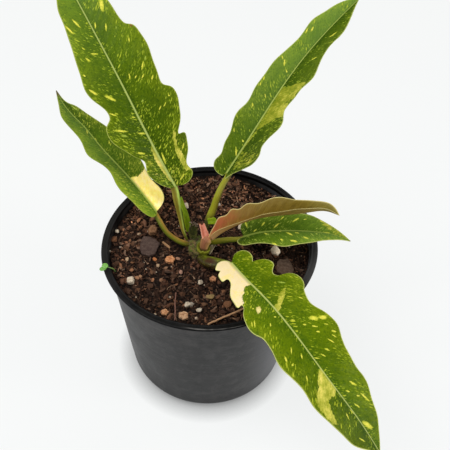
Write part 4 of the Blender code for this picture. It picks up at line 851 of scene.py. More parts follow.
def young_material(surface):
    t = Tree("young_leaf")
    along, out, vein = t.mark("along"), t.mark("out"), t.mark("vein")
    inner, under, share = t.mark("inner"), t.mark("under"), t.mark("share")
    wide = t.math("ABSOLUTE", out)
    flat = t.vector(along, out, 70.0)
    ribs = t.vector(vein, t.math("MULTIPLY", wide, 0.16), t.math("SIGN", out))
    run = t.math("DIVIDE", along, surface.length)
    blot = t.math("MULTIPLY_ADD", t.noise(flat, 0.12, 3, 0.6), 0.16, -0.08)
    upper = t.ramp(t.math("ADD", run, blot), [(0.0, srgb(192, 128, 82)), (0.08, srgb(164, 102, 58)), (0.2, srgb(148, 106, 48)), (0.4, srgb(130, 104, 34)), (0.72, srgb(126, 106, 32)), (1.0, srgb(124, 118, 48))])
    lower = t.ramp(t.math("ADD", run, blot), [(0.0, srgb(206, 158, 112)), (0.15, srgb(180, 134, 80)), (0.4, srgb(148, 106, 54)), (0.75, srgb(130, 102, 42)), (1.0, srgb(134, 118, 58))])
    colour = t.mix(under, upper, lower)
    flush = t.math("MULTIPLY", t.step(t.math("MULTIPLY", out, -1.0), 1.0, 8.0), t.math("SUBTRACT", 1.0, t.step(t.math("ADD", run, blot), 0.08, 0.32)))
    colour = t.mix(t.math("MULTIPLY", t.math("MULTIPLY", flush, t.math("SUBTRACT", 1.0, under)), 0.75), colour, srgb(178, 88, 58))
    streak = t.step(t.noise(ribs, 0.9, 3, 0.65), 0.48, 0.72)
    colour = t.mix(t.math("MULTIPLY", streak, 0.45), colour, srgb(158, 138, 54))
    dark = t.step(t.noise(t.vector(vein, t.math("MULTIPLY", wide, 0.2), 9.0), 1.1, 3, 0.65), 0.5, 0.75)
    colour = t.mix(t.math("MULTIPLY", dark, 0.4), colour, srgb(88, 70, 20))
    pinch = t.math("SUBTRACT", 1.0, t.step(wide, 0.4, 1.3))
    colour = t.mix(t.math("MULTIPLY", pinch, 0.5), colour, srgb(120, 96, 40))
    rim = t.math("SUBTRACT", 1.0, t.step(inner, 0.3, 0.8))
    colour = t.mix(t.math("MULTIPLY", rim, 0.8), colour, srgb(214, 200, 132))
    tall = t.math("ADD", t.math("MULTIPLY", t.noise(ribs, 1.4, 2, 0.5), 0.6), t.noise(flat, 0.3, 3, 0.5))
    return t.done(colour, t.span(t.noise(flat, 0.3, 3, 0.6), 0.3, 0.7, 0.42, 0.56), t.bump(tall, 0.2))


def lobe_material():
    t = Tree("young_lobe")
    where = t.place()
    colour = t.mix(t.step(t.noise(where, 0.35, 3, 0.6), 0.35, 0.7), srgb(190, 108, 78), srgb(168, 86, 62))
    colour = t.mix(t.math("MULTIPLY", t.math("SUBTRACT", 1.0, t.step(t.mark("inner"), 0.2, 0.8)), 0.6), colour, srgb(220, 156, 124))
    return t.done(colour, 0.5, t.bump(t.noise(where, 0.9, 3, 0.6), 0.25))


def small_sheet(name, spec, rows, thick, seed, wave=0.0, notch=0.0, ragged=0.0):
    """A sheath or another small sheet, its half widths given along its middle line."""
    BLADES[name] = spec
    surface = Surface(spec)
    widths = {side: np.array(list(spec[key]) + [(surface.length, 0.15)]) for side, key in ((-1, "left"), (1, "right"))}
    along = np.linspace(0, surface.length, rows)
    half = np.linspace(0, 1, 13)[1:]
    columns = [(-1, f) for f in half[::-1]] + [(1, 0.0)] + [(1, f) for f in half]
    random = np.random.default_rng(seed + 900)
    spots, share, inner, outs = [], [], [], []
    for side, f in columns:
        reach = np.interp(along, widths[side][:, 0], widths[side][:, 1])
        cut = notch * math.exp(-((f - 0.1) / 0.35) ** 2) + ragged * random.random()
        spots.append(surface.at(along * (1 - cut * smooth(along / surface.length, 0.45, 1.0)), reach * f, side))
        share.append(np.full(rows, f))
        inner.append(reach * (1 - f))
        outs.append(side * reach * f)
    grid, share, inner, outs = (np.stack(v, 1) for v in (spots, share, inner, outs))
    normal = np.cross(np.gradient(grid, axis=0), np.gradient(grid, axis=1))
    normal /= np.maximum(np.linalg.norm(normal, axis=2, keepdims=True), 1e-9)
    grid = grid + normal * (wave * share**2 * np.sin(along / 2.3 + seed)[:, None])[..., None]
    thin = thick / 2 * (0.4 + 0.6 * smooth(inner, 0, 1.0))
    top, low = grid + normal * thin[..., None], grid - normal * thin[..., None]
    wide_n, count = len(columns), rows * len(columns)
    faces = [grid_faces(rows, wide_n), grid_faces(rows, wide_n, count, True)]
    ring = [c for c in range(wide_n)] + [r * wide_n + wide_n - 1 for r in range(1, rows)]
    ring += [(rows - 1) * wide_n + c for c in range(wide_n - 2, -1, -1)] + [r * wide_n for r in range(rows - 2, 0, -1)]
    ring = np.array(ring)
    after = np.roll(ring, -1)
    faces = np.concatenate(faces + [np.stack([ring, ring + count, after + count, after], 1)])[:, ::-1]
    both = lambda v: np.concatenate([np.ravel(v)] * 2)
    marks = dict(along=both(np.repeat(along[:, None], wide_n, 1)), out=both(outs), inner=both(inner), share=both(share))
    return mesh_object(name + "_fine", np.concatenate([top.reshape(-1, 3), low.reshape(-1, 3)]), faces, marks)


def make_young_leaf():
    obj, surface = make_blade("young_leaf_blade", 220, 0.5, (0.9, 0.7, 0.3), 0.15, 21)
    finished(obj, young_material(surface), "young_leaf_blade", "young_leaf_blade")
    spec = dict(
        rib=[(205.8, 238, 151), (204.6, 234.5, 152), (203.2, 229.5, 153.8), (201.8, 223.6, 156.2)],
        left=[(0, 2.8), (3, 2.6), (7, 2.2), (11, 2.1), (14, 1.9)],
        right=[(0, 3.6), (3, 3.2), (7, 2.6), (11, 2.1), (14, 1.2)],
        twist=(0,), lift=(14,), curl=-5.0)
    lobe = small_sheet("young_leaf_lobe", spec, 44, 0.5, 2, 0.2, 0.11)
    finished(lobe, lobe_material(), "young_leaf_blade")


# ---------------------------------------------------------------------------------------------------------------
# Stalks, sheaths and crown
# ---------------------------------------------------------------------------------------------------------------


def haze(points, size, seed=0, octaves=3):
    """A smooth random field over points, about -1 to 1."""
    p = np.asarray(points, float) / size
    total, weight = 0.0, 1.0
    for o in range(octaves):
        cell = np.floor(p).astype(np.int64)
        f = p - cell
        f = f * f * (3 - 2 * f)
        value = 0.0
        for corner in range(8):
            d = np.array((corner & 1, corner >> 1 & 1, corner >> 2))
            h = (cell + d) @ np.array((374761393, 668265263, 1442695041)) + (seed + o) * 974634777
            h = (h ^ (h >> 13)) * 1274126177
            h = ((h ^ (h >> 16)) & 0xFFFF) / 32767.5 - 1
            value = value + h * np.where(d, f, 1 - f).prod(-1)
        total = total + value * weight
        weight *= 0.5
        p = p * 2.03 + 7.1
    return total


def tube_parts(line, radii, around, shape=None, lump=0.0, lump_size=2.0, seed=0, blunt=(True, True)):
    """Points, faces and marks of a closed tube along a line. shape(turn, run) scales the radius."""
    rows = len(line)
    ahead = view_axes()[2]
    tangent = np.gradient(line, axis=0)
    tangent /= np.linalg.norm(tangent, axis=1)[:, None]
    across = np.cross(tangent, -ahead)
    across /= np.linalg.norm(across, axis=1)[:, None]
    front = np.cross(across, tangent)
    gone = np.concatenate([[0], np.cumsum(np.linalg.norm(np.diff(line, axis=0), axis=1))])
    run = gone / gone[-1]
    radius = ramp(run, radii)
    for end, distance in ((0, gone), (1, gone[-1] - gone)):
        if blunt[end]:
            x = np.clip(distance / np.maximum(radius, 0.01), 0, 1)
            radius = radius * np.sqrt(np.maximum(1 - (1 - x) ** 2, 0.02))
    turn = np.linspace(0, 2 * math.pi, around, endpoint=False)
    grown = radius[:, None] * (shape(turn[None, :], run[:, None]) if shape else np.ones((rows, around)))
    spokes = across[:, None] * np.cos(turn)[None, :, None] + front[:, None] * np.sin(turn)[None, :, None]
    points = line[:, None] + spokes * grown[..., None]
    if lump:
        points = points + spokes * (lump * haze(points * np.array((1, 1, 0.6)), lump_size, seed))[..., None]
    points = np.concatenate([points.reshape(-1, 3), line[:1], line[-1:]])
    count = rows * around
    faces = [tuple(f) for f in grid_faces(rows, around, wrap=True)[:, ::-1]]
    ring = list(range(around))
    faces += [(count, ring[(i + 1) % around], ring[i]) for i in ring]
    faces += [(count + 1, count - around + i, count - around + (i + 1) % around) for i in ring]
    spread = lambda v, a, b: np.concatenate([np.broadcast_to(v, (rows, around)).ravel(), [a, b]])
    marks = dict(
        run=spread(run[:, None], 0, 1), along=spread(gone[:, None], 0, gone[-1]), side=spread(np.cos(turn)[None], 0, 0),
        front=spread(np.sin(turn)[None], 0, 0))
    return points, faces, marks


def outward(points, faces):
    """Whether faces of a closed mesh look outward."""
    a, b, c = (points[[f[i] for f in faces]] for i in range(3))
    first = (np.cross(b, c) * a).sum()
    d = [(f[0], f[2], f[3]) for f in faces if len(f) == 4]
    if d:
        a, b, c = (points[[f[i] for f in d]] for i in range(3))
        first += (np.cross(b, c) * a).sum()
    return first > 0


def closed_object(name, points, faces, marks=None, smooth_shaded=True):
    faces = [tuple(f) for f in faces]
    if not outward(points, faces):
        faces = [f[::-1] for f in faces]
    return mesh_object(name, points, faces, marks, smooth_shaded)


def stalk_material(name, stops, ends, reach=(0.16, 0.86), hollow=None, spots=None, streak=0.4, rough=0.42, mottle=0.0):
    """Colours across the stalk, blended along it to those of its ends, with fine lines along it and small spots."""
    t = Tree(name)
    side, run, along, front = (t.mark(k) for k in ("side", "run", "along", "front"))
    where = t.place()
    lines = t.noise(t.vector(t.math("MULTIPLY", side, 5.5), t.math("MULTIPLY", along, 0.09), t.math("MULTIPLY", front, 2.0)), 1.0, 3, 0.6)
    wander = t.math("MULTIPLY_ADD", t.noise(where, 0.25, 2, 0.5), 0.4, -0.2)
    colour = t.ramp(t.math("MULTIPLY_ADD", t.math("ADD", side, wander), 0.5, 0.5), [(at, srgb(*c)) for at, c in stops])
    low = t.math("SUBTRACT", 1.0, t.step(t.math("ADD", run, t.math("MULTIPLY", wander, 0.2)), reach[0] - 0.14, reach[0]))
    top = t.step(t.math("ADD", run, t.math("MULTIPLY", wander, 0.2)), reach[1], 1.0)
    colour = t.mix(t.math("MULTIPLY", low, 0.9), colour, srgb(*ends[0]))
    colour = t.mix(t.math("MULTIPLY", top, 0.8), colour, srgb(*ends[1]))
    colour = t.times(colour, t.grey(t.span(lines, 0.3, 0.7, 1 - streak * 0.6, 1 + streak * 0.45)))
    if mottle:
        colour = t.mix(t.math("MULTIPLY", t.step(t.noise(where, 0.42, 4, 0.7), 0.45, 0.66), mottle), colour, srgb(46, 30, 14))
        colour = t.mix(t.math("MULTIPLY", t.step(t.noise(where, 0.75, 3, 0.6), 0.58, 0.7), mottle * 0.7), colour, srgb(96, 112, 16))
    if spots:
        gap, chance = t.cells(t.vector(t.math("MULTIPLY", side, 3.0), t.math("MULTIPLY", along, 0.55), t.math("MULTIPLY", front, 2.0)), 1.3)
        shown = t.step(t.parts(chance)[0], 0.62, 0.66)
        dot = t.math("SUBTRACT", 1.0, t.step(gap, 0.16, 0.3))
        colour = t.mix(t.math("MULTIPLY", t.math("MULTIPLY", dot, shown), 0.5), colour, srgb(*spots))
    if hollow:
        lean, shade, low_run, high_run = hollow
        toward = t.math("ADD", t.math("MULTIPLY", side, -math.sin(lean)), t.math("MULTIPLY", front, math.cos(lean)))
        inside = t.math("MULTIPLY", t.step(toward, 0.72, 0.92), t.step(run, low_run, low_run + 0.12))
        inside = t.math("MULTIPLY", inside, t.math("SUBTRACT", 1.0, t.step(run, high_run - 0.15, high_run)))
        colour = t.mix(t.math("MULTIPLY", inside, 0.9), colour, srgb(*shade))
    normal = t.bump(t.math("ADD", lines, t.math("MULTIPLY", t.noise(where, 1.6, 3, 0.6), 0.6)), 0.22)
    return t.done(colour, t.span(t.noise(where, 0.5, 2, 0.5), 0.3, 0.7, rough - 0.06, rough + 0.1), normal, Specular_IOR_Level=0.22)


def wing(depth, width=0.55, lean=0.0):
    """A groove in the front of a stalk between two low wings."""
    def shape(turn, run):
        at = lambda d: (turn - math.pi / 2 - lean - d + math.pi) % (2 * math.pi) - math.pi
        groove = np.exp(-(at(0) / width) ** 2)
        wings = sum(np.exp(-(at(d) / 0.35) ** 2) for d in (-1.0, 1.0))
        return 1 - depth * groove + depth * 0.45 * wings
    return shape


def keel_line(surface, reach, drop, count=4):
    """Points under the midrib of a blade from its base on."""
    at = np.linspace(1.0, reach, count)
    base = surface.at(at, np.zeros(count), 1)
    face = np.stack([np.interp(at, surface.along, surface.face[:, j]) for j in range(3)], -1)
    return [p - f * d for p, f, d in zip(base, face, np.linspace(drop, drop * 0.35, count))]


def make_stalks():
    looks = {
        "leaf_a_stalk": dict(
            stops=[(0.0, (176, 164, 70)), (0.12, (146, 132, 46)), (0.36, (120, 106, 30)), (0.58, (130, 126, 38)), (0.72, (166, 182, 82)), (0.9, (150, 172, 66)), (1.0, (96, 116, 28))],
            ends=((104, 104, 30), (156, 160, 64)), shape=wing(0.12), radii=(0.8, 1.3, 1.8, 2.3, 2.75, 2.7, 1.2)),
        "leaf_b_stalk": dict(
            stops=[(0.0, (76, 82, 14)), (0.3, (98, 104, 18)), (0.6, (116, 108, 22)), (0.8, (142, 108, 36)), (1.0, (156, 124, 52))],
            ends=((84, 76, 22), (132, 130, 40)), shape=wing(0.06), radii=(2.3, 2.1, 2.0, 2.1, 2.0, 1.0)),
        # leaf C's stalk: its low end is near-black, painted shadow where its base lies in the dark gap behind the young
        # leaf's lobe
        "leaf_c_stalk": dict(
            stops=[(0.0, (142, 144, 22)), (0.35, (134, 134, 14)), (0.7, (124, 118, 22)), (1.0, (98, 90, 20))],
            ends=((14, 12, 6), (134, 146, 36)), reach=(0.33, 0.86), shape=wing(0.05), radii=(2.5, 2.7, 3.0, 2.8, 2.5, 2.4, 2.2, 1.0)),
        "leaf_e_stalk": dict(
            stops=[(0.0, (150, 144, 40)), (0.4, (136, 134, 24)), (0.75, (98, 104, 14)), (1.0, (66, 76, 12))],
            ends=((70, 80, 16), (124, 128, 40)), shape=wing(0.08), radii=(2.2, 2.3, 2.1, 1.6, 0.8)),
        "leaf_f_stalk": dict(
            stops=[(0.0, (96, 108, 10)), (0.16, (84, 92, 10)), (0.4, (58, 58, 10)), (0.7, (62, 50, 16)), (1.0, (40, 34, 10))], mottle=0.8,
            ends=((62, 66, 10), (70, 74, 10)), shape=wing(0.24, 0.6, 0.62), hollow=(0.62, (62, 34, 20), 0.18, 0.55), radii=(3.2, 4.2, 4.5, 3.4, 2.4, 1.0)),
    }
    for name, (points, _) in STALKS.items():
        if name == "young_leaf_stalk":
            continue
        look = looks[name]
        line = [in_space(*p) for p in points]
        start = line[0] - (line[1] - line[0]) / np.linalg.norm(line[1] - line[0]) * 1.8
        surface = Surface(BLADES[name.replace("stalk", "blade")])
        line = [start] + line[:-1] + keel_line(surface, 9.0, look["radii"][-2] * 0.95)
        line = spline(line, 90)[0]
        parts = tube_parts(line, look["radii"], 48, look["shape"], 0.10, 3.0, 5)
        material = stalk_material(name, look["stops"], look["ends"], look.get("reach", (0.16, 0.86)), look.get("hollow"), (160, 156, 60), mottle=look.get("mottle", 0.0))
        finished(closed_object(name + "_fine", *parts), material, "stalk", name)
    line = spline([in_space(*p) for p in ((203.8, 251, 140.6), (204, 247.6, 143.2), (205, 243.4, 146.3), (206.9, 239.6, 148.9), (209.2, 236.6, 151))], 44)[0]
    parts = tube_parts(line, (2.9, 3.15, 3.6, 4.1, 3.0), 40, wing(0.12, 0.4, 0.3), 0.1, 2.5, 9)
    material = stalk_material(
        "young_stalk", [(0.0, (150, 108, 66)), (0.3, (136, 86, 58)), (0.6, (128, 84, 54)), (0.85, (162, 120, 70)), (1.0, (172, 148, 80))],
        ((92, 66, 40), (186, 122, 88)), (0.3, 0.8), None, None, 0.5, 0.5)
    finished(closed_object("young_leaf_stalk_fine", *parts), material, "young_stalk", "young_leaf_stalk")


def sheath_material(name, base, light, dark, rough=0.45):
    t = Tree(name)
    along, out, inner = t.mark("along"), t.mark("out"), t.mark("inner")
    lines = t.noise(t.vector(t.math("MULTIPLY", out, 2.2), t.math("MULTIPLY", along, 0.22), 3.0), 1.0, 3, 0.6)
    colour = t.mix(t.step(lines, 0.42, 0.72), base, light)
    colour = t.mix(t.math("MULTIPLY", t.step(t.noise(t.place(), 0.5, 3, 0.6), 0.5, 0.75), 0.7), colour, dark)
    colour = t.mix(t.math("SUBTRACT", 0.7, t.math("MULTIPLY", t.step(inner, 0.15, 0.6), 0.7)), colour, light)
    return t.done(colour, rough, t.bump(lines, 0.3), Specular_IOR_Level=0.15)


def make_sheaths():
    looks = {
        "leaf_a_sheath": (60, 0.8, 3, 0.12, 0, "sheath", (srgb(102, 128, 6), srgb(134, 154, 26), srgb(74, 92, 8), 0.5)),
        "leaf_c_sheath": (30, 0.8, 4, 0.1, 0, "sheath", (srgb(104, 130, 4), srgb(132, 150, 12), srgb(76, 98, 6), 0.5)),
        # the dry sheath's near-black greens are partly its own colour and partly painted shade of the dark hollow it
        # lies in
        "dry_sheath": (40, 0.5, 5, 0.5, 0.16, "dry_sheath", (srgb(44, 52, 10), srgb(76, 70, 30), srgb(20, 22, 6), 0.85)),
    }
    for name, (rows, thick, seed, wave, ragged, slot, look) in looks.items():
        spec = dict(SHEETS[name])
        if name == "leaf_a_sheath":
            spec.update(left=[(0, 2.2), (6, 3.4), (14, 3.5), (22, 2.8), (34, 1.5)])
        if name == "leaf_c_sheath":
            spec.update(left=[(0, 2.2), (1.2, 2.8), (3, 2.3), (5.2, 2.6), (6.7, 0.9)], right=[(0, 1.9), (2, 2.3), (4.2, 2.9), (6.0, 2.3)])
        obj = small_sheet(name, spec, rows, thick, seed, wave, 0.0, ragged)
        finished(obj, sheath_material(name, *look), slot, name)
        if name == "dry_sheath":
            # ragged fibres on it, greyish pink at its top
            random, surface, sets = np.random.default_rng(15), Surface(spec), []
            for _ in range(170):
                run, out = random.random() ** 0.7, random.uniform(-1, 1)
                start = surface.at(np.array([run * surface.length]), np.array([abs(out) * 3.2]), 1 if out > 0 else -1)[0]
                way = np.array((0.3 * out, -0.55, 0.75)) + random.normal(0, 0.4, 3)
                long = random.uniform(0.8, 2.4)
                line = [start + way / np.linalg.norm(way) * long * k + random.normal(0, 0.06, 3) for k in (0, 0.35, 0.7, 1)]
                choices = [(164, 142, 126), (140, 118, 100), (118, 98, 70)] if run > 0.75 else [(66, 66, 18), (46, 50, 12), (92, 78, 44), (28, 28, 8)]
                sets.append((thread(np.array(line), random.uniform(0.08, 0.26), 4), tint(random, choices, 0.25)))
            finished(joined("dry_fibres", sets), tinted_material("dry_fibres", 0.9, 0.4), "dry_sheath")
    scrap = dict(
        rib=[(208.8, 254, 138.4), (211, 250.5, 140), (213.4, 247, 141.6), (215.6, 243.6, 142.6)],
        left=[(0, 1.0), (3, 2.0), (7, 2.2), (10, 1.2)], right=[(0, 1.0), (3, 1.8), (7, 1.6), (10, 0.9)],
        twist=(10,), lift=(24,), curl=-6.0)
    obj = small_sheet("dry_scrap", scrap, 40, 0.35, 8, 0.3, 0.0, 0.2)
    finished(obj, sheath_material("dry_scrap", srgb(92, 80, 52), srgb(168, 158, 128), srgb(48, 38, 24), 0.75), "dry_sheath")
    # the open cup that the young leaf's stalk stands in
    around, turn = 72, np.linspace(0, 2 * math.pi, 72, endpoint=False)
    rings = [(4.4, 138.4), (4.9, 140.4), (5.15, 141.8), (5.15, 142.9), (4.95, 143.7), (4.6, 143.8), (4.2, 143.5), (3.3, 143.0), (2.9, 140.8)]
    rows = []
    for i, (r, z) in enumerate(rings):
        edge = 0.9 * np.cos(turn - math.radians(165)) + 0.5 * np.sin(3 * turn) + 0.35 * np.sin(7 * turn) + 0.25 * np.sin(11 * turn + 1) - 1.4 * np.exp(-(((turn - 0.5 + math.pi) % (2 * math.pi) - math.pi) / 0.7) ** 2)
        lift = edge * smooth(z, 141, 143.8)
        wide = r * (1 + 0.03 * np.sin(3 * turn + 1) + 0.012 * np.sin(17 * turn))
        rows.append(np.stack([-4.2 + wide * np.cos(turn), -7.8 + wide * np.sin(turn), z + lift], 1))
    line, _ = spline([r.reshape(-1) for r in rows], 34)
    points = line.reshape(-1, 3)
    faces = [tuple(f) for f in grid_faces(34, around, wrap=True)]
    faces += [(33 * around + i, 33 * around + (i + 1) % around, (i + 1) % around, i) for i in range(around)]
    rim = np.repeat(np.concatenate([np.linspace(5, 0, 17), np.linspace(0, 4, 17)]), around)
    marks = dict(along=points[:, 2] - 139, out=np.tile(turn * 5, 34), inner=rim)
    obj = closed_object("young_leaf_sheath_fine", points, faces, marks)
    finished(obj, sheath_material("cup", srgb(94, 98, 16), srgb(140, 140, 46), srgb(92, 62, 36)), "sheath", "young_leaf_sheath")


def make_crown():
    """The short fuzzy stem: a lumpy mound with leaf scars round it and short fibres on it."""
    rows, around = 90, 170
    turn = np.linspace(0, 2 * math.pi, around, endpoint=False)
    u = np.linspace(0, 1, rows)
    ring = np.where(u < 0.62, 1.0 - 0.02 * u, np.sqrt(np.clip(1 - ((u - 0.62) / 0.38) ** 2.6, 0, 1)))
    high = np.where(u < 0.62, 131.5 + 8.4 * u / 0.62, 139.9 + 1.1 * np.sin((u - 0.62) / 0.38 * math.pi / 2))
    x = -8.5 + 7.3 * ring[:, None] * np.cos(turn)
    y = -3.0 + 9.7 * ring[:, None] * np.sin(turn)
    z = np.broadcast_to(high[:, None], x.shape)
    points = np.stack([x, y, z], -1)
    out = np.stack([np.cos(turn)[None] * ring[:, None], np.sin(turn)[None] * ring[:, None], 0.25 + smooth(u, 0.55, 0.9)[:, None] + 0 * x], -1)
    out /= np.linalg.norm(out, axis=-1, keepdims=True)
    scars = np.abs(((points[..., 2] - 132 + 0.5 * np.sin(2 * turn)[None]) / 2.6) % 1 - 0.5)
    rise = 0.55 * haze(points, 4.0, 3) + 0.25 * haze(points, 1.3, 9) + 0.12 * haze(points, 0.5, 5, 2)
    rise -= 0.5 * np.exp(-(scars / 0.1) ** 2) * (1 - smooth(u, 0.5, 0.75))[:, None]
    points = points + out * (rise - 0.35)[..., None]
    flat = points.reshape(-1, 3)
    faces = [tuple(f) for f in grid_faces(rows, around, wrap=True)]
    flat = np.concatenate([flat, flat[:around].mean(0)[None], flat[-around:].mean(0)[None]])
    n = rows * around
    faces += [(n, (i + 1) % around, i) for i in range(around)]
    faces += [(n + 1, n - around + i, n - around + (i + 1) % around) for i in range(around)]
    depth = np.concatenate([rise.ravel(), [0, 0]])
    obj = closed_object("stem_fine", flat, faces, dict(depth=depth))
    t = Tree("crown")
    where = t.place()
    # colour follows the relief: near-black low in the hollows and leaf scars is painted shade, and the pinkish pale on
    # the highest lumps is painted highlight
    colour = t.ramp(t.span(t.math("ADD", t.mark("depth"), t.math("MULTIPLY_ADD", t.noise(where, 0.8, 4, 0.65), 1.6, -0.8)), -1.1, 1.0, 0, 1), [
        (0.0, srgb(16, 11, 6)), (0.3, srgb(40, 32, 10)), (0.55, srgb(72, 64, 16)), (0.8, srgb(104, 92, 30)), (1.0, srgb(150, 124, 98))])
    colour = t.mix(t.math("MULTIPLY", t.step(t.noise(where, 0.3, 2, 0.5), 0.46, 0.58), 0.8), colour, srgb(74, 88, 8))
    colour = t.mix(t.math("MULTIPLY", t.step(t.noise(where, 0.42, 2, 0.6), 0.56, 0.66), 0.6), colour, srgb(128, 92, 66))
    t.done(colour, 0.85, t.bump(t.noise(where, 2.6, 4, 0.7), 0.5))
    finished(obj, t.material, "stem", "stem")
    # short fibres
    random = np.random.default_rng(11)
    sets = []
    for _ in range(420):
        a, h = random.uniform(0, 2 * math.pi), random.uniform(0, 1)
        start = np.array((-8.5 + 6.9 * math.cos(a), -3 + 9.3 * math.sin(a), 134 + 6.6 * h))
        if random.random() < 0.4:
            k = math.sqrt(random.random())
            start = np.array((-8.5 + 6.9 * k * math.cos(a), -3 + 9.3 * k * math.sin(a), 140.2))
        way = np.array((math.cos(a), math.sin(a), random.uniform(-0.2, 0.9))) + random.normal(0, 0.5, 3)
        way /= np.linalg.norm(way)
        long = random.uniform(0.8, 2.6)
        bend = random.normal(0, 0.25, 3)
        line = [start + way * long * k + bend * long * k * k for k in (0, 0.35, 0.7, 1)]
        sets.append((thread(np.array(line), random.uniform(0.05, 0.13), 4), tint(random, [(112, 94, 60), (86, 72, 34), (70, 58, 20), (150, 126, 108)])))
    finished(joined("stem_fibres", sets), tinted_material("stem_fibres", 0.9, 0.5), "stem")


# ---------------------------------------------------------------------------------------------------------------
# Small loose things, many in one mesh
# ---------------------------------------------------------------------------------------------------------------


def tint(random, choices, spread=0.16):
    base = np.array(srgb(*choices[random.integers(len(choices))]))
    return np.clip(base * math.exp(random.normal(0, spread)), 0, 1)


def thread(line, radius, around=5):
    """A thin closed tube along a line, pointed at its end."""
    line = np.asarray(line, float)
    tangent = np.gradient(line, axis=0)
    tangent /= np.linalg.norm(tangent, axis=1)[:, None]
    helper = np.array((0.31, 0.17, 0.93)) if abs(tangent[0][2]) < 0.9 else np.array((1.0, 0.2, 0))
    across = np.cross(tangent, helper)
    across /= np.linalg.norm(across, axis=1)[:, None]
    front = np.cross(across, tangent)
    turn = np.linspace(0, 2 * math.pi, around, endpoint=False)
    size = radius * np.linspace(1, 0.45, len(line))[:, None, None]
    points = line[:, None] + size * (across[:, None] * np.cos(turn)[None, :, None] + front[:, None] * np.sin(turn)[None, :, None])
    n = len(line) * around
    faces = [tuple(f) for f in grid_faces(len(line), around, wrap=True)[:, ::-1]]
    faces += [tuple(range(around))[::-1], tuple(range(n - around, n))]
    return points.reshape(-1, 3), faces


def joined(name, sets, smooth_shaded=True):
    """One object of many small meshes, each with a colour of its own."""
    points, faces, colours, start = [], [], [], 0
    for (p, f), colour in sets:
        points.append(p)
        faces += [tuple(i + start for i in face) for face in f]
        colours.append(np.tile([*colour, 1.0], (len(p), 1)))
        start += len(p)
    return mesh_object(name, np.concatenate(points), faces, dict(tint=np.concatenate(colours)), smooth_shaded)


def tinted_material(name, rough, grain, depth=0.3, size=1.5, gloss=0.3):
    t = Tree(name)
    where = t.place()
    shade = t.math("MULTIPLY_ADD", t.noise(where, size, 4, 0.65), grain * 2, 1 - grain)
    colour = t.times(t.mark_colour("tint"), t.grey(shade))
    return t.done(colour, t.span(t.noise(where, size, 2, 0.5), 0.3, 0.7, rough - 0.08, min(rough + 0.08, 1.0)), t.bump(t.noise(where, size * 2, 4, 0.7), depth), Specular_IOR_Level=gloss)


def ball(divisions):
    work = bmesh.new()
    bmesh.ops.create_icosphere(work, subdivisions=divisions, radius=1)
    points = np.array([tuple(v.co) for v in work.verts])
    faces = [tuple(v.index for v in f.verts) for f in work.faces]
    work.free()
    return points, faces


def turn_matrix(random, tilt=None):
    """A random turn, or one that leaves a flat piece within about tilt degrees of level."""
    if tilt is None:
        q = random.normal(0, 1, 4)
        q /= np.linalg.norm(q)
        w, x, y, z = q
        return np.array([
            [1 - 2 * (y * y + z * z), 2 * (x * y - z * w), 2 * (x * z + y * w)],
            [2 * (x * y + z * w), 1 - 2 * (x * x + z * z), 2 * (y * z - x * w)],
            [2 * (x * z - y * w), 2 * (y * z + x * w), 1 - 2 * (x * x + y * y)]])
    a, b, c = random.uniform(0, 2 * math.pi), math.radians(random.normal(0, tilt)), math.radians(random.normal(0, tilt))
    rz = np.array([[math.cos(a), -math.sin(a), 0], [math.sin(a), math.cos(a), 0], [0, 0, 1]])
    rx = np.array([[1, 0, 0], [0, math.cos(b), -math.sin(b)], [0, math.sin(b), math.cos(b)]])
    ry = np.array([[math.cos(c), 0, math.sin(c)], [0, 1, 0], [-math.sin(c), 0, math.cos(c)]])
    return ry @ rx @ rz


def crumb(random, size, shape, kind=1):
    """A lump of bark, coir or grit: a ball made rough and squeezed."""
    points, faces = BALLS[kind]
    points = points * (1 + random.uniform(-0.28, 0.22, (len(points), 1)))
    box = np.sign(points) * np.abs(points) ** 0.75
    points = box * np.array(shape) * size / 2
    return points, faces


BALLS = {1: ball(1), 2: ball(2), 3: ball(3)}
SOIL_COLOURS = [
    (70, 47, 34), (60, 40, 29), (86, 58, 43), (46, 31, 22), (100, 69, 51), (76, 51, 37), (110, 74, 53), (36, 25, 18), (62, 43, 31),
    (84, 54, 38), (54, 35, 24), (134, 92, 64), (94, 68, 52), (116, 90, 72)]


def pot_wall(z):
    """Outer radius of the pot's wall."""
    return 64.86 + (78.8 - 64.86) * (z - 11) / (138.9 - 11)


def inner_wall(z):
    return pot_wall(z) - 1.5


def out_of_round(points):
    """Bring points of a round pot to the soft pot's true outline, which is a little out of round towards its rim."""
    points = np.array(points, float)
    x, y, z = np.moveaxis(points, -1, 0)
    turn = np.arctan2(y, x)
    share = np.clip((z - 80.0) / (RIM_HEIGHT - 80.0), 0, 1) ** 1.5
    gain = 0.22 + 0.55 * np.cos(turn) - 0.14 * np.sin(turn) + 0.03 * np.cos(2 * turn) + 1.23 * np.sin(2 * turn)
    gain += 0.28 * np.cos(3 * turn) - 0.45 * np.sin(3 * turn)
    grown = 1 + share * gain / RIM_RADIUS
    return np.stack([x * grown, y * grown, z], -1)


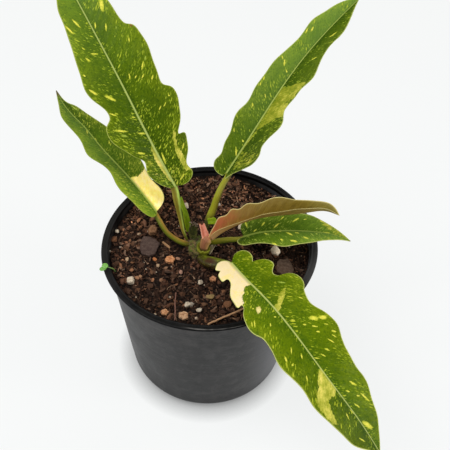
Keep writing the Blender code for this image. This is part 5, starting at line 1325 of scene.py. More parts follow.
def make_soil():
    # the bed: finely broken ground on a plain body down to the floor of the pot
    rings, around = 118, 400
    turn = np.linspace(0, 2 * math.pi, around, endpoint=False)
    radius = np.linspace(0.35, 1, rings) * (inner_wall(SOIL_LEVEL) - 0.35)
    x, y = radius[:, None] * np.cos(turn), radius[:, None] * np.sin(turn)
    flat = np.stack([x, y, 0 * x], -1)
    z = ground(x, y) + 0.75 * haze(flat, 9, 1) + 0.75 * haze(flat, 3.2, 2) + 0.45 * haze(flat, 1.3, 3, 2) - 0.9
    z = z + 0.3 * smooth(radius, 70, 78)[:, None]
    top = np.stack([x, y, z], -1)
    inner = top[:1] * np.array((0.3, 0.3, 1)) * 0 + np.stack([0.12 * x[:1], 0.12 * y[:1], z[:1]], -1)
    sides = []
    for level, r in ((120, inner_wall(120) - 0.3), (106, inner_wall(106) - 0.3), (92, inner_wall(92) - 0.3), (80, inner_wall(80) - 0.3), (60, inner_wall(60) - 0.3), (11.5, inner_wall(11.5) - 0.3), (2.1, 56.0), (2.1, 30)):
        sides.append(np.stack([r * np.cos(turn), r * np.sin(turn), np.full(around, level)], -1)[None])
    rows = np.concatenate([inner, top] + sides)
    points = out_of_round(rows.reshape(-1, 3))
    n = len(points)
    points = np.concatenate([points, [[0, 0, float(z[0].mean())], [0, 0, 2.1]]])
    faces = [tuple(f) for f in grid_faces(len(rows), around, wrap=True)]
    faces += [(n, (i + 1) % around, i) for i in range(around)]
    faces += [(n + 1, n - around + i, n - around + (i + 1) % around) for i in range(around)]
    obj = closed_object("soil_bed", points, faces)
    t = Tree("soil_bed")
    where = t.place()
    colour = t.ramp(t.span(t.noise(where, 0.55, 5, 0.7), 0.3, 0.72, 0, 1), [
        (0.0, srgb(10, 7, 5)), (0.35, srgb(24, 15, 10)), (0.6, srgb(42, 27, 18)), (0.85, srgb(68, 45, 31)), (1.0, srgb(100, 68, 47))])
    gap, chance = t.cells(where, 0.6)
    colour = t.times(colour, t.grey(t.span(t.parts(chance)[0], 0, 1, 0.5, 1.4)))
    t.done(colour, 0.92, t.bump(t.noise(where, 1.4, 5, 0.75), 1.0), Specular_IOR_Level=0.15)
    finished(obj, t.material, "soil", "soil")
    # crumbs, slivers and fibres lying on it
    random = np.random.default_rng(77)
    limit = inner_wall(SOIL_LEVEL) - 1.2
    groups = {"soil_crumbs_1": [], "soil_crumbs_2": []}
    # painted light and shade on the crumbs and slivers: lighter to the left and towards the back, darker close to the
    # front wall in the shade of the rim
    bright = lambda x, y: (0.56 + 0.46 * float(smooth(-x, 44, 68)) + 1.1 * float(smooth(y, 8, 42))) * (1 - 0.45 * float(smooth(math.hypot(x, y), 69, 75) * smooth(-y, 10, 40)))
    for i in range(7200):
        r, a = limit * math.sqrt(random.random()), random.uniform(0, 2 * math.pi)
        x, y = r * math.cos(a), r * math.sin(a)
        pick = random.random()
        size = random.uniform(0.7, 1.5) if pick < 0.58 else random.uniform(1.5, 2.3) if pick < 0.9 else random.uniform(2.3, 3.8)
        if r + size * 0.6 > limit + 0.8:
            continue
        shape = (random.uniform(0.8, 1.9), random.uniform(0.45, 0.95), random.uniform(0.3, 0.8))
        kind = 1 if size < 1.8 else 2
        if kind == 2:
            points, f = BALLS[2]
            p = angular(points, int(random.integers(1 << 30)), 9, 0.42) * np.array(shape) * size / 2 * 1.35
            p = p * (1 + random.uniform(-0.14, 0.10, (len(p), 1)))
        else:
            p, f = crumb(random, size, shape, kind)
        p = p @ turn_matrix(random, 28).T
        z = float(ground(x, y)) + random.uniform(-0.9, 0.7) - (0.2 if size > 2.5 else 0)
        p = p + out_of_round((x, y, z))
        groups["soil_crumbs_1" if i % 2 else "soil_crumbs_2"].append(((p, f), tint(random, SOIL_COLOURS, 0.42) * bright(x, y)))
    for name, sets in groups.items():
        finished(joined(name, sets, False), tinted_material(name, 0.9, 0.45, 0.5, 1.2, 0.15), "soil")
    slivers = []
    browns = [(96, 66, 46), (118, 84, 60), (82, 58, 42), (140, 104, 76), (62, 44, 32), (158, 126, 98), (98, 78, 62)]
    for _ in range(430):
        r, a = limit * math.sqrt(random.random()), random.uniform(0, 2 * math.pi)
        x, y = r * math.cos(a), r * math.sin(a)
        size = random.uniform(1.0, 3.4)
        if r + size > limit:
            continue
        p, f = crumb(random, size, (1.7, random.uniform(0.22, 0.5), random.uniform(0.12, 0.3)), 1)
        p = p @ turn_matrix(random, 30).T + out_of_round((x, y, float(ground(x, y)) + random.uniform(-0.1, 0.9)))
        slivers.append(((p, f), tint(random, browns, 0.35) * (0.35 + 0.65 * bright(x, y))))
    for _ in range(150):
        r, a = limit * math.sqrt(random.random()) * 0.95, random.uniform(0, 2 * math.pi)
        x, y = r * math.cos(a), r * math.sin(a)
        way, bend = random.uniform(0, 2 * math.pi), random.normal(0, 0.5)
        long = random.uniform(3, 10)
        line = []
        for k in np.linspace(-0.5, 0.5, 8):
            px, py = x + long * k * math.cos(way + bend * k), y + long * k * math.sin(way + bend * k)
            line.append((px, py, float(ground(px, py)) + 0.6 + 0.5 * math.sin(5 * k + r) + random.uniform(-0.1, 0.1)))
        line = np.array(line)
        if np.hypot(line[:, 0], line[:, 1]).max() > limit:
            continue
        slivers.append((thread(spline(line, 12)[0], random.uniform(0.09, 0.24)), tint(random, browns, 0.35) * 0.8))
    finished(joined("soil_slivers", slivers), tinted_material("soil_slivers", 0.85, 0.35, 0.3, 1.5), "soil")


# Loose bits that show one by one: the drawn place, length, width and thickness in mm, turn and colour
BITS = [
    (114, 238, 6.0, 5.0, 2.4, 15, (112, 74, 48)), (127, 258.5, 3.0, 2.8, 2.2, 40, (190, 160, 126)), (158, 265, 2.6, 2.4, 2.0, 0, (172, 142, 112)),
    (181, 272, 3.4, 2.6, 2.0, 30, (168, 128, 108)), (154.5, 258.5, 4.0, 2.4, 1.6, 10, (176, 110, 64)), (131.5, 269, 3.0, 2.2, 1.8, 60, (150, 104, 72)),
    (137, 277, 3.2, 2.6, 2.0, 20, (156, 112, 80)), (140.5, 275.5, 2.6, 2.0, 1.8, 0, (170, 128, 94)), (161, 279.5, 3.0, 2.6, 2.0, 75, (140, 102, 76)),
    (166, 267.5, 2.8, 2.2, 1.8, 0, (150, 112, 84)), (178, 258.5, 3.4, 2.4, 2.0, 50, (160, 118, 92)), (166.5, 244.5, 9.6, 1.8, 1.2, 84, (158, 120, 84)),
    (210.5, 296, 6.0, 4.6, 3.0, 20, (142, 118, 76)), (228, 303.5, 5.0, 5.6, 3.0, 45, (116, 78, 52)), (155, 314, 2.6, 2.4, 2.0, 0, (188, 166, 140)),
    (196.5, 317.5, 2.4, 2.2, 1.8, 0, (178, 154, 130)), (191.3, 303.6, 3.8, 3.6, 2.8, 25, (160, 146, 130)), (218.6, 205.5, 2.8, 2.8, 2.4, 0, (196, 182, 166)),
    (139, 233.5, 3.0, 2.2, 2.0, 10, (168, 140, 112)), (108, 240, 4.4, 3.2, 2.2, -30, (104, 72, 50)), (121, 227, 4.6, 3.4, 2.4, 35, (92, 64, 46)),
    (126, 247, 5.2, 3.6, 2.6, -20, (98, 66, 44)), (117, 262, 4.2, 3.4, 2.4, 50, (88, 60, 42)), (133, 243, 4.0, 3.0, 2.2, 5, (106, 74, 52)),
    (142, 264, 5.0, 3.8, 2.6, -40, (86, 58, 42)), (150, 285, 4.8, 3.6, 2.6, 25, (94, 64, 46)), (166, 296, 4.4, 3.4, 2.4, -15, (104, 70, 50)),
    (146, 300, 4.6, 3.2, 2.2, 40, (90, 62, 44)), (182, 293, 4.6, 3.6, 2.6, 0, (98, 66, 46)), (196, 296, 4.0, 3.0, 2.2, 65, (110, 78, 56)),
    (160, 303, 4.2, 3.0, 2.2, -35, (84, 58, 42)), (215, 309, 4.6, 3.8, 2.6, 15, (96, 66, 48)), (204, 303, 3.8, 3.0, 2.0, -10, (120, 86, 62)),
    (238, 318, 4.0, 2.8, 2.2, 10, (92, 64, 46)), (172, 303, 3.4, 2.6, 2.0, 80, (112, 76, 54)), (189, 281, 4.2, 3.0, 2.2, 20, (100, 70, 50)),
    (174, 276, 4.4, 3.4, 2.4, -25, (90, 62, 44)), (152, 271, 3.6, 2.8, 2.0, 45, (116, 82, 58)), (128, 290, 4.4, 3.0, 2.2, -45, (82, 56, 40)),
]


def make_bits():
    random = np.random.default_rng(404)
    sets = []
    for i, (x, y, long, wide, thick, turn, colour) in enumerate(BITS):
        px, py = on_ground(x, y)
        points, faces = BALLS[3]
        p = angular(points, 300 + i, 13) * np.array((long, wide, thick)) / 2 * 1.12
        p = p + (0.10 * haze(p, 0.7, i, 2))[:, None] * points
        a = math.radians(turn)
        spin = np.array([[math.cos(a), -math.sin(a), 0], [math.sin(a), math.cos(a), 0], [0, 0, 1]])
        tip = turn_matrix(random, 10)
        dull = 0.66 if i >= 19 else 0.9
        sets.append(((p @ (spin @ tip).T + np.array((px, py, float(ground(px, py)) + 0.35 + thick * 0.3 - (0.5 if i >= 19 else 0))), faces), tuple(c * dull for c in srgb(*colour))))
    finished(joined("soil_bits", sets, False), tinted_material("soil_bits", 0.88, 0.4, 0.5, 1.3, 0.2), "light_bark")


def angular(points, seed, count=14, low=0.72):
    """A ball's points drawn in to flat facets that face random ways."""
    random = np.random.default_rng(seed)
    ways = random.normal(0, 1, (count, 3))
    ways /= np.linalg.norm(ways, axis=1)[:, None]
    far = random.uniform(low, 1.0, count)
    reach = far / np.maximum(points @ ways.T, 1e-3)
    return points * np.minimum(reach.min(1), 1.12)[:, None]


def rough_ball(divisions, size, seed, squeeze=(1, 1, 1), lump=0.16, pit=0.05):
    points, faces = ball(divisions)
    grow = 1 + lump * haze(points * 1.6, 1.0, seed, 2) + pit * haze(points * 6, 1.0, seed + 4, 3)
    return points * grow[:, None] * np.array(squeeze) * size / 2, faces


def perlite_material(name, light=1.0):
    t = Tree(name)
    where = t.place()
    # painted light and shade: light scales each granule's colour, above 1 for a granule that lies in the leaves' shade
    tone = lambda r, g, b: tuple(c * min(light, 0.95 / srgb(r, g, b)[0]) for c in srgb(r, g, b))
    colour = t.ramp(t.span(t.noise(where, 0.8, 4, 0.65), 0.3, 0.7, 0, 1), [
        (0.0, tone(150, 128, 108)), (0.4, tone(196, 178, 152)), (1.0, tone(224, 210, 188))])
    colour = t.mix(t.math("MULTIPLY", t.step(t.noise(where, 0.45, 4, 0.7), 0.58, 0.75), 0.45), colour, srgb(134, 104, 80))
    return t.done(colour, 0.9, t.bump(t.noise(where, 2.6, 5, 0.75), 0.5))


def on_ground(x, y):
    return in_space(x, y, SOIL_LEVEL + 2)[:2]


def highest_ground(x, y, reach):
    turn = np.linspace(0, 2 * math.pi, 17)
    return max(float(ground(x + r * reach * np.cos(turn), y + r * reach * np.sin(turn)).max()) for r in (0, 0.5, 1))


SPECKS = [
    (265, 240, 1.8), (252, 236, 1.6), (120, 246, 1.5), (146, 268, 1.4), (170, 296, 1.5), (222, 300, 1.4), (236, 205, 1.6),
    (256, 214, 1.6), (136, 296, 1.4), (110, 250, 1.4), (289, 246, 1.6)]


def make_perlite():
    random = np.random.default_rng(5)
    for i, (x, y, size) in enumerate(PERLITE):
        px, py = on_ground(x, y)
        p, f = ball(5 if size > 5 else 4)
        size = size * (0.84 if i in (4, 5) else 1)
        p = angular(p, 512 if i == 0 else 500 + i, 16, 0.72 if i == 0 else 0.6) * size / 2 * (1 + 0.05 * haze(p * 1.6, 0.6, 30 + i, 3) + 0.03 * haze(p * 6, 1.0, 34 + i, 3))[:, None]
        if i == 3:
            u = ball(5)[0]
            p = np.sign(u) * np.abs(u) ** 0.42 * np.array((0.80, 0.80, 0.72)) * size / 2 * (1 + 0.06 * haze(u * 3, 0.6, 33, 3))[:, None]
        low = p[:, 2].min()
        z = highest_ground(px, py, size / 2) + 0.3 - low
        obj = closed_object(f"perlite_{i + 1}_fine", p @ turn_matrix(random, 12).T + np.array((px, py, z)), f)
        # the factors per granule are painted light and shade; the first granule lies in the leaves' shade and is made
        # much brighter
        finished(obj, perlite_material(f"perlite_{i + 1}", (2.1, 1.35, 1.3, 1.0, 0.80, 0.9, 0.9, 0.85)[i]), "perlite", f"perlite_{i + 1}")
    sets = []
    for i, (x, y, size) in enumerate(SPECKS):
        px, py = on_ground(x, y)
        p, f = rough_ball(3, size, 60 + i, 1 + random.uniform(-0.2, 0.2, 3))
        sets.append(((p + np.array((px, py, float(ground(px, py)) + 0.25 + size * 0.25)), f), (1, 1, 1)))
    limit = inner_wall(SOIL_LEVEL) - 3
    for i in range(16):
        r, a = limit * math.sqrt(random.random()), random.uniform(0, 2 * math.pi)
        x, y = r * math.cos(a), r * math.sin(a)
        p, f = rough_ball(2, random.uniform(0.6, 1.2), 90 + i, 1 + random.uniform(-0.2, 0.2, 3))
        sets.append(((p + np.array((x, y, float(ground(x, y)) + 0.5)), f), (1, 1, 1)))
    finished(joined("perlite_specks", sets), perlite_material("perlite_specks", 0.7), "perlite")


CHIP_LOOKS = {
    "bark_chip_large": [(72, 56, 50), (82, 66, 58), (58, 44, 38), (98, 78, 68)],
    "bark_chip_right": [(78, 60, 48), (88, 70, 57), (62, 48, 38), (100, 82, 67)],
    "bark_chip_brown": [(134, 96, 66), (154, 114, 82), (104, 72, 50), (172, 132, 98)],
    "bark_chip_orange": [(186, 124, 80), (204, 146, 102), (146, 94, 60), (216, 164, 120)],
    "bark_chip_tan": [(172, 130, 95), (192, 154, 118), (130, 92, 64), (208, 174, 140)],
    "bark_chip_small": [(170, 118, 80), (192, 144, 104), (120, 80, 54), (204, 160, 120)],
    "bark_chip_centre": [(166, 112, 76), (190, 138, 100), (112, 74, 50), (204, 158, 118)],
}


# the outlines of the two large chips, as the photograph shows them
CHIP_OUTLINES = {
    "bark_chip_large": [(143.5, 237.2), (150.6, 237.4), (156.1, 240.9), (160.0, 243.7), (157.2, 248.3), (155.2, 253.9), (148.7, 256.0), (142.2, 254.3), (139.6, 249.3), (140.2, 242.8)],
    "bark_chip_right": [(276.8, 263.4), (279.8, 259.2), (283.4, 259.8), (287.9, 258.4), (290.8, 263.6), (294.0, 270.6), (292.8, 273.2), (284.0, 274.6), (277.2, 272.4)],
}


def outline_reach(outline, px, py, angle):
    """How far an outline lies from the point (px, py) in each direction."""
    corners = np.array([on_ground(x, y) for x, y in outline]) - (px, py)
    way = np.stack([np.cos(angle), np.sin(angle)], 1)
    reach = np.full(len(angle), 1e9)
    for a, b in zip(corners, np.roll(corners, -1, 0)):
        edge = b - a
        down = way[:, 0] * edge[1] - way[:, 1] * edge[0]
        down = np.where(np.abs(down) < 1e-9, 1e-9, down)
        far = (a[0] * edge[1] - a[1] * edge[0]) / down
        part = (a[0] * way[:, 1] - a[1] * way[:, 0]) / down
        reach = np.where((far > 0) & (part >= -1e-6) & (part <= 1 + 1e-6), np.minimum(reach, far), reach)
    return np.where(reach > 1e8, np.median(reach), reach)


def make_chips():
    """Chips of bark: flat lumps with broken edges and layers that run along them."""
    for i, (name, (x, y, half_long, half_wide, thick, turn, sides)) in enumerate(CHIPS.items()):
        random = np.random.default_rng(200 + i)
        px, py = on_ground(x, y)
        points, faces = ball(5)
        u, v, w = points.T
        flat = np.hypot(u, v)
        angle = np.arctan2(v, u)
        corner = np.cos(((angle * sides / (2 * math.pi)) % 1 - 0.5) * 2 * math.pi / sides)
        edge = 1.0 / corner * math.cos(math.pi / sides) * (1 + 0.09 * haze(np.stack([u, v, 0 * u], 1), 0.45, i, 3))
        squash = np.abs(w) ** 0.45 * np.sign(w)
        wide = np.minimum(flat * 1.25, 1) ** 0.8
        layer = 0.14 * haze(np.stack([u * 1.2, v * 5, w * 3], 1), 1.0, 20 + i, 3)
        a = math.radians(turn)
        if name in CHIP_OUTLINES:
            reach = outline_reach(CHIP_OUTLINES[name], px, py, angle) * (1 + 0.05 * haze(np.stack([u, v, 0 * u], 1), 0.4, i, 3))
            a, half_long, half_wide, edge = 0.0, 1.0, 1.0, reach
        p = np.stack([np.cos(angle) * wide * edge * half_long, np.sin(angle) * wide * edge * half_wide, (squash + layer) * thick / 2], 1)
        p += (0.16 * haze(p, 0.8, 40 + i, 2))[:, None] * points
        spin = np.array([[math.cos(a), -math.sin(a), 0], [math.sin(a), math.cos(a), 0], [0, 0, 1]])
        low = highest_ground(px, py, float(np.hypot(p[:, 0], p[:, 1]).max())) + 0.3 + thick / 2
        obj = closed_object(name + "_fine", p @ spin.T + np.array((px, py, low)), faces, dict(layer=layer))
        t = Tree(name)
        where = t.place()
        grain = t.noise(where, 0.5, 5, 0.7)
        shades = [srgb(*c) for c in CHIP_LOOKS[name]]
        colour = t.ramp(t.span(t.math("ADD", grain, t.math("MULTIPLY", t.mark("layer"), 0.8)), 0.3, 0.72, 0, 1), [
            (0.0, shades[2]), (0.35, shades[0]), (0.7, shades[1]), (1.0, shades[3])])
        colour = t.times(colour, t.grey(t.span(t.noise(where, 2.0, 4, 0.7), 0.3, 0.7, 0.75, 1.15)))
        t.done(colour, 0.88, t.bump(t.noise(where, 1.6, 5, 0.75), 0.6), Specular_IOR_Level=0.15)
        slot = "dark_bark" if name in ("bark_chip_large", "bark_chip_right") else "light_bark"
        finished(obj, t.material, slot, name)


def make_twigs():
    for name, (points, radius), colours, seed in (
            ("twig", TWIG, [(168, 126, 88), (126, 88, 58), (192, 152, 112)], 3), ("straw", STRAW, [(112, 72, 56), (84, 54, 42), (142, 98, 76)], 6)):
        line = spline([in_space(*p) for p in points], 60)[0]
        line = line + 0.12 * np.stack([haze(line + k * 31, 5.0, seed, 2) for k in range(3)], 1)
        parts = tube_parts(line, (radius * 1.05, radius, radius * 0.75), 16, None, 0.14, 1.4, seed)
        t = Tree(name)
        where = t.place()
        lines = t.noise(t.vector(t.math("MULTIPLY", t.mark("side"), 3.0), t.math("MULTIPLY", t.mark("along"), 0.3), t.mark("front")), 1.0, 4, 0.7)
        colour = t.ramp(t.span(lines, 0.3, 0.7, 0, 1), [(0.0, srgb(*colours[1])), (0.5, srgb(*colours[0])), (1.0, srgb(*colours[2]))])
        t.done(colour, 0.75, t.bump(t.math("ADD", lines, t.noise(where, 1.5, 3, 0.6)), 0.3))
        finished(closed_object(name + "_fine", *parts), t.material, "straw", name)


def make_weed():
    line = spline([in_space(*p) for p in WEED_STEM], 50)[0]
    sets = [(tube_parts(line, (0.5, 0.42, 0.36), 14, None, 0.04, 1.5, 2)[:2], srgb(120, 150, 78))]
    for x, y, z, radius, longer, turn in WEED_LEAVES:
        points, faces = ball(4)
        u, v, w = points.T
        p = np.stack([u * radius * longer, v * radius * 0.95, w * radius * 0.3 + 0.10 * radius * u * u - 0.05 * np.exp(-(v / 0.12) ** 2)], 1)
        a, b = math.radians(turn), math.radians(12)
        rx = np.array([[1, 0, 0], [0, math.cos(b), -math.sin(b)], [0, math.sin(b), math.cos(b)]])
        rz = np.array([[math.cos(a), -math.sin(a), 0], [math.sin(a), math.cos(a), 0], [0, 0, 1]])
        sets.append(((p @ (rz @ rx).T + in_space(x, y, z), faces), srgb(104, 156, 62)))
    t = Tree("weed")
    where = t.place()
    colour = t.times(t.mark_colour("tint"), t.grey(t.span(t.noise(where, 0.9, 4, 0.6), 0.3, 0.7, 0.8, 1.2)))
    t.done(colour, 0.4, t.bump(t.noise(where, 2.0, 3, 0.6), 0.2))
    finished(joined("weed_seedling_fine", sets), t.material, "weed", "weed_seedling")


# ---------------------------------------------------------------------------------------------------------------
# Pot
# ---------------------------------------------------------------------------------------------------------------


def arc(centre, radius, start, end, count):
    turn = np.radians(np.linspace(start, end, count))
    return [(centre[0] + radius * math.cos(a), centre[1] + radius * math.sin(a)) for a in turn]


def make_pot():
    around = 288
    turn = np.linspace(0, 2 * math.pi, around, endpoint=False)

    def lathe(profile):
        r, z = (np.array(v) for v in zip(*profile))
        x, y = r[:, None] * np.cos(turn), r[:, None] * np.sin(turn)
        return out_of_round(np.stack([x, y, np.broadcast_to(z[:, None], x.shape)], -1).reshape(-1, 3))

    levels = (30, 60, 80, 90, 100, 110, 120, 130, 136)
    profile = [(39, 1.8), (55.5, 1.8), (58.0, 2.8), (61.2, 6.0), (62.7, 9.0), (inner_wall(11), 11)]
    profile += [(inner_wall(z), z) for z in levels] + [(77.4, 139.6), (78.9, 139.6)]
    profile += [(pot_wall(z), z) for z in levels[::-1]]
    profile += arc((51.3, 13.6), 13.6, 0, -90, 22)
    profile += [(50.9, 0.0), (50.4, 0.4), (49.9, 0.6), (39, 0.6)]
    points = lathe(profile)
    n = len(points)
    points = np.concatenate([points, [[0, 0, 1.8], [0, 0, 0.6]]])
    faces = [tuple(f) for f in grid_faces(len(profile), around, wrap=True)]
    faces += [(n, (i + 1) % around, i) for i in range(around)]
    faces += [(n + 1, n - around + i, n - around + (i + 1) % around) for i in range(around)]
    pot = closed_object("pot_fine", points, faces)
    # its lip: a flange with a low ridge and a groove inside of it
    loop = [(77.24, 138.4), (77.22, 140.3), (77.4, 140.85), (77.8, 141.1), (78.3, 141.08), (78.7, 140.8), (79.15, 140.85), (79.7, 141.05), (80.4, 141.18),
            (81.2, 141.2), (81.75, 141.08), (82.15, 140.85), (82.4, 140.5), (82.5, 140.1), (82.42, 139.7), (82.15, 139.35), (81.7, 139.2), (80.6, 139.15),
            (79.4, 139.1), (79.0, 138.9), (78.92, 138.4)]
    points = lathe(loop)
    rows = len(loop)
    faces = [(i * around + j, i * around + (j + 1) % around, (i + 1) % rows * around + (j + 1) % around, (i + 1) % rows * around + j)
             for i in range(rows) for j in range(around)]
    lip = closed_object("pot_lip_fine", points, faces)
    t = Tree("pot_lip")
    where = t.place()
    apart = t.tree.nodes.new("ShaderNodeSeparateXYZ")
    t.put(apart.inputs[0], where)
    east, north, tall = apart.outputs[0], apart.outputs[1], apart.outputs[2]
    colour = t.mix(t.step(t.noise(where, 0.12, 4, 0.65), 0.35, 0.68), srgb(5, 5, 5), srgb(17, 16, 15))
    # painted light: the lip is made lighter towards its left and right sides, and most on the right
    colour = t.mix(t.math("MULTIPLY", t.step(t.math("ABSOLUTE", east), 50.0, 80.0), 0.5), colour, srgb(40, 39, 38))
    colour = t.mix(t.math("MULTIPLY", t.step(east, 50.0, 80.0), 0.6), colour, srgb(62, 61, 60))
    from_axis = t.math("POWER", t.math("ADD", t.math("MULTIPLY", east, east), t.math("MULTIPLY", north, north)), 0.5)
    # painted highlight: a pale line along the top of the ridge, only at the front
    ridge = t.math("MULTIPLY", t.step(from_axis, 80.7, 81.2), t.math("SUBTRACT", 1.0, t.step(from_axis, 81.7, 82.1)))
    ridge = t.math("MULTIPLY", t.math("MULTIPLY", ridge, t.step(tall, 140.9, 141.05)), t.step(t.math("MULTIPLY", north, -1.0), 70.0, 79.0))
    ridge = t.math("MULTIPLY", ridge, t.math("MULTIPLY", t.step(east, -18.0, -4.0), t.math("SUBTRACT", 1.0, t.step(east, 20.0, 34.0))))
    colour = t.mix(t.math("MULTIPLY", ridge, t.span(t.noise(where, 0.2, 3, 0.6), 0.35, 0.65, 0.15, 0.7)), colour, srgb(112, 109, 105))
    # painted shadow: the lip's outer face below its top is near-black
    colour = t.mix(t.math("MULTIPLY", t.math("SUBTRACT", 1.0, t.step(tall, 140.5, 140.9)), 0.9), colour, srgb(7, 7, 7))
    dust = t.noise(where, 0.5, 5, 0.75)
    colour = t.mix(t.math("MULTIPLY", t.step(dust, 0.6, 0.8), 0.2), colour, srgb(112, 108, 102))
    t.done(colour, t.span(dust, 0.3, 0.7, 0.42, 0.6), t.bump(t.noise(where, 0.8, 4, 0.6), 0.05), Specular_IOR_Level=0.10)
    finished(lip, t.material, "pot")
    cutters = []
    for i in range(8):
        a = 2 * math.pi * (i + 0.5) / 8
        work = bmesh.new()
        bmesh.ops.create_cone(work, cap_ends=True, segments=40, radius1=4.5 * MM, radius2=4.5 * MM, depth=10 * MM)
        bmesh.ops.translate(work, verts=work.verts, vec=(47 * MM * math.cos(a), 47 * MM * math.sin(a), 0.9 * MM))
        mesh = bpy.data.meshes.new(f"hole_{i}")
        work.to_mesh(mesh)
        work.free()
        cutter = bpy.data.objects.new(f"hole_{i}", mesh)
        bpy.context.scene.collection.objects.link(cutter)
        cut = pot.modifiers.new(f"hole_{i}", "BOOLEAN")
        cut.operation, cut.solver, cut.object = "DIFFERENCE", "EXACT", cutter
        cutters.append(cutter)
    bpy.context.view_layer.update()
    mesh = bpy.data.meshes.new_from_object(pot.evaluated_get(bpy.context.evaluated_depsgraph_get()))
    pot.modifiers.clear()
    pot.data = mesh
    for cutter in cutters:
        bpy.data.objects.remove(cutter, do_unlink=True)
    mesh.shade_smooth()
    mesh.set_sharp_from_angle(angle=math.radians(38))
    t = Tree("pot")
    where = t.place()
    # satin black plastic: soft cloudy marks, fine dust and thin scuffs that mostly run round it
    cloud = t.noise(where, 0.045, 5, 0.65)
    colour = t.mix(t.step(cloud, 0.35, 0.68), srgb(8, 8, 8), srgb(34, 33, 33))
    dust = t.noise(where, 0.4, 5, 0.75)
    colour = t.mix(t.math("MULTIPLY", t.step(dust, 0.6, 0.8), 0.25), colour, srgb(128, 124, 118))
    speck_gap, chance = t.cells(where, 0.25)
    speck = t.math("SUBTRACT", 1.0, t.step(speck_gap, 0.03, 0.09))
    colour = t.mix(t.math("MULTIPLY", t.math("MULTIPLY", speck, t.step(t.parts(chance)[0], 0.7, 0.75)), 0.5), colour, srgb(140, 136, 128))
    stretch = t.tree.nodes.new("ShaderNodeMapping")
    stretch.inputs["Scale"].default_value = (0.02, 0.02, 0.9)
    t.put(stretch.inputs["Vector"], where)
    scuff = t.noise(stretch.outputs[0], 1.0, 4, 0.6, 0.4)
    colour = t.mix(t.math("MULTIPLY", t.step(scuff, 0.56, 0.72), 0.14), colour, srgb(120, 120, 120))
    apart = t.tree.nodes.new("ShaderNodeSeparateXYZ")
    t.put(apart.inputs[0], where)
    tall = apart.outputs[2]
    # painted light: the right side is made greyer and lighter, where it catches the light
    painted_right_light = t.math("MULTIPLY", t.step(t.math("ADD", apart.outputs[0], t.math("MULTIPLY", cloud, 24.0)), 38.0, 84.0), 0.75)
    colour = t.mix(painted_right_light, colour, srgb(98, 98, 102))
    dusty = t.math("MULTIPLY", t.step(tall, 84.0, 128.0), t.step(t.noise(where, 0.03, 5, 0.7), 0.46, 0.7))
    colour = t.mix(t.math("MULTIPLY", dusty, 0.42), colour, srgb(84, 80, 78))
    blotch = t.step(t.noise(where, 0.11, 5, 0.72), 0.44, 0.66)
    colour = t.mix(t.math("MULTIPLY", blotch, 0.42), colour, srgb(60, 58, 57))
    rubbed = t.step(t.noise(where, 0.09, 5, 0.75, 0.6), 0.56, 0.7)
    colour = t.mix(t.math("MULTIPLY", rubbed, 0.7), colour, srgb(6, 6, 6))
    rough = t.span(t.math("ADD", t.math("MULTIPLY", cloud, 0.6), t.math("MULTIPLY", scuff, 0.4)), 0.3, 0.7, 0.38, 0.62)
    t.done(colour, rough, t.bump(t.math("ADD", t.noise(where, 0.7, 4, 0.6), t.math("MULTIPLY", scuff, 0.4)), 0.05), Specular_IOR_Level=0.27)
    finished(pot, t.material, "pot", "pot")


# ---------------------------------------------------------------------------------------------------------------
# Floor, light and camera
# ---------------------------------------------------------------------------------------------------------------


def area_light(name, place, target, size, watts, colour=(1, 1, 1)):
    lamp = bpy.data.lights.new(name, "AREA")
    lamp.shape = "RECTANGLE"
    lamp.size, lamp.size_y = size
    lamp.energy = watts
    lamp.color = colour
    obj = bpy.data.objects.new(name, lamp)
    obj.location = place
    obj.rotation_euler = (Vector(target) - Vector(place)).to_track_quat("-Z", "Y").to_euler()
    bpy.context.scene.collection.objects.link(obj)


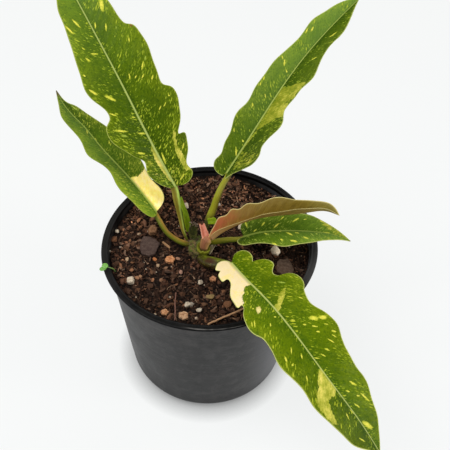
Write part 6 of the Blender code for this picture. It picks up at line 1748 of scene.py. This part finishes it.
def make_stage():
    corners = ((-1, -1), (1, -1), (1, 1), (-1, 1))
    places = [(x * s, y * s, 0) for s in (6000.0, 90000.0) for x, y in corners]
    floor = mesh_object("floor", places, [(0, 1, 2, 3)] + [(i, i + 4, (i + 1) % 4 + 4, (i + 1) % 4) for i in range(4)])
    t = Tree("floor")
    cloud = t.noise(t.place(), 0.004, 2, 0.5)
    t.done(t.mix(cloud, (0.15, 0.151, 0.152), (0.16, 0.161, 0.162)), 1.0, Specular_IOR_Level=0.0)
    # a lit table: it glows evenly, less where something stands close above it, which paints a soft contact shadow round
    # the pot's foot
    contact_shadow = t.tree.nodes.new("ShaderNodeAmbientOcclusion")
    contact_shadow.samples = 12
    contact_shadow.inputs["Distance"].default_value = 0.0165
    glow = t.math("MULTIPLY", contact_shadow.outputs["AO"], 0.764)
    t.put(t.shader.inputs["Emission Color"], (0.984, 1.0, 0.994))
    t.put(t.shader.inputs["Emission Strength"], glow)
    floor.data.materials.append(t.material)
    world = bpy.data.worlds.new("studio")
    world.use_nodes = True
    world.node_tree.nodes["Background"].inputs["Color"].default_value = (1.0, 1.0, 1.0, 1)
    world.node_tree.nodes["Background"].inputs["Strength"].default_value = 0.30
    bpy.context.scene.world = world
    area_light("overhead", (-0.42, -0.32, 1.50), (0, 0, 0.15), (1.1, 0.95), 17.0)
    area_light("left", (-1.15, 0.05, 1.15), (0, 0, 0.15), (0.8, 0.8), 6.0)
    area_light("right", (1.1, -0.35, 0.50), (0, 0, 0.08), (0.5, 0.5), 8.0)
    area_light("back", (0.35, 1.1, 0.9), (0, 0, 0.15), (0.8, 0.5), 3.0)
    camera = bpy.data.cameras.new("camera")
    camera.lens, camera.sensor_width = 68.0, 36.0
    obj = bpy.data.objects.new("camera", camera)
    across, up, ahead = view_axes()
    obj.matrix_world = Matrix([[*(across[i], up[i], -ahead[i]), EYE[i] * MM] for i in range(3)] + [[0, 0, 0, 1]])
    bpy.context.scene.collection.objects.link(obj)
    bpy.context.scene.camera = obj
    view = bpy.context.scene.view_settings
    view.view_transform = "Standard"
    view.look = "None"
    view.exposure = 0.0
    view.gamma = 1.0


make_leaves()
make_young_leaf()
make_stalks()
make_sheaths()
make_crown()
make_soil()
make_perlite()
make_chips()
make_bits()
make_twigs()
make_weed()
make_pot()
make_stage()
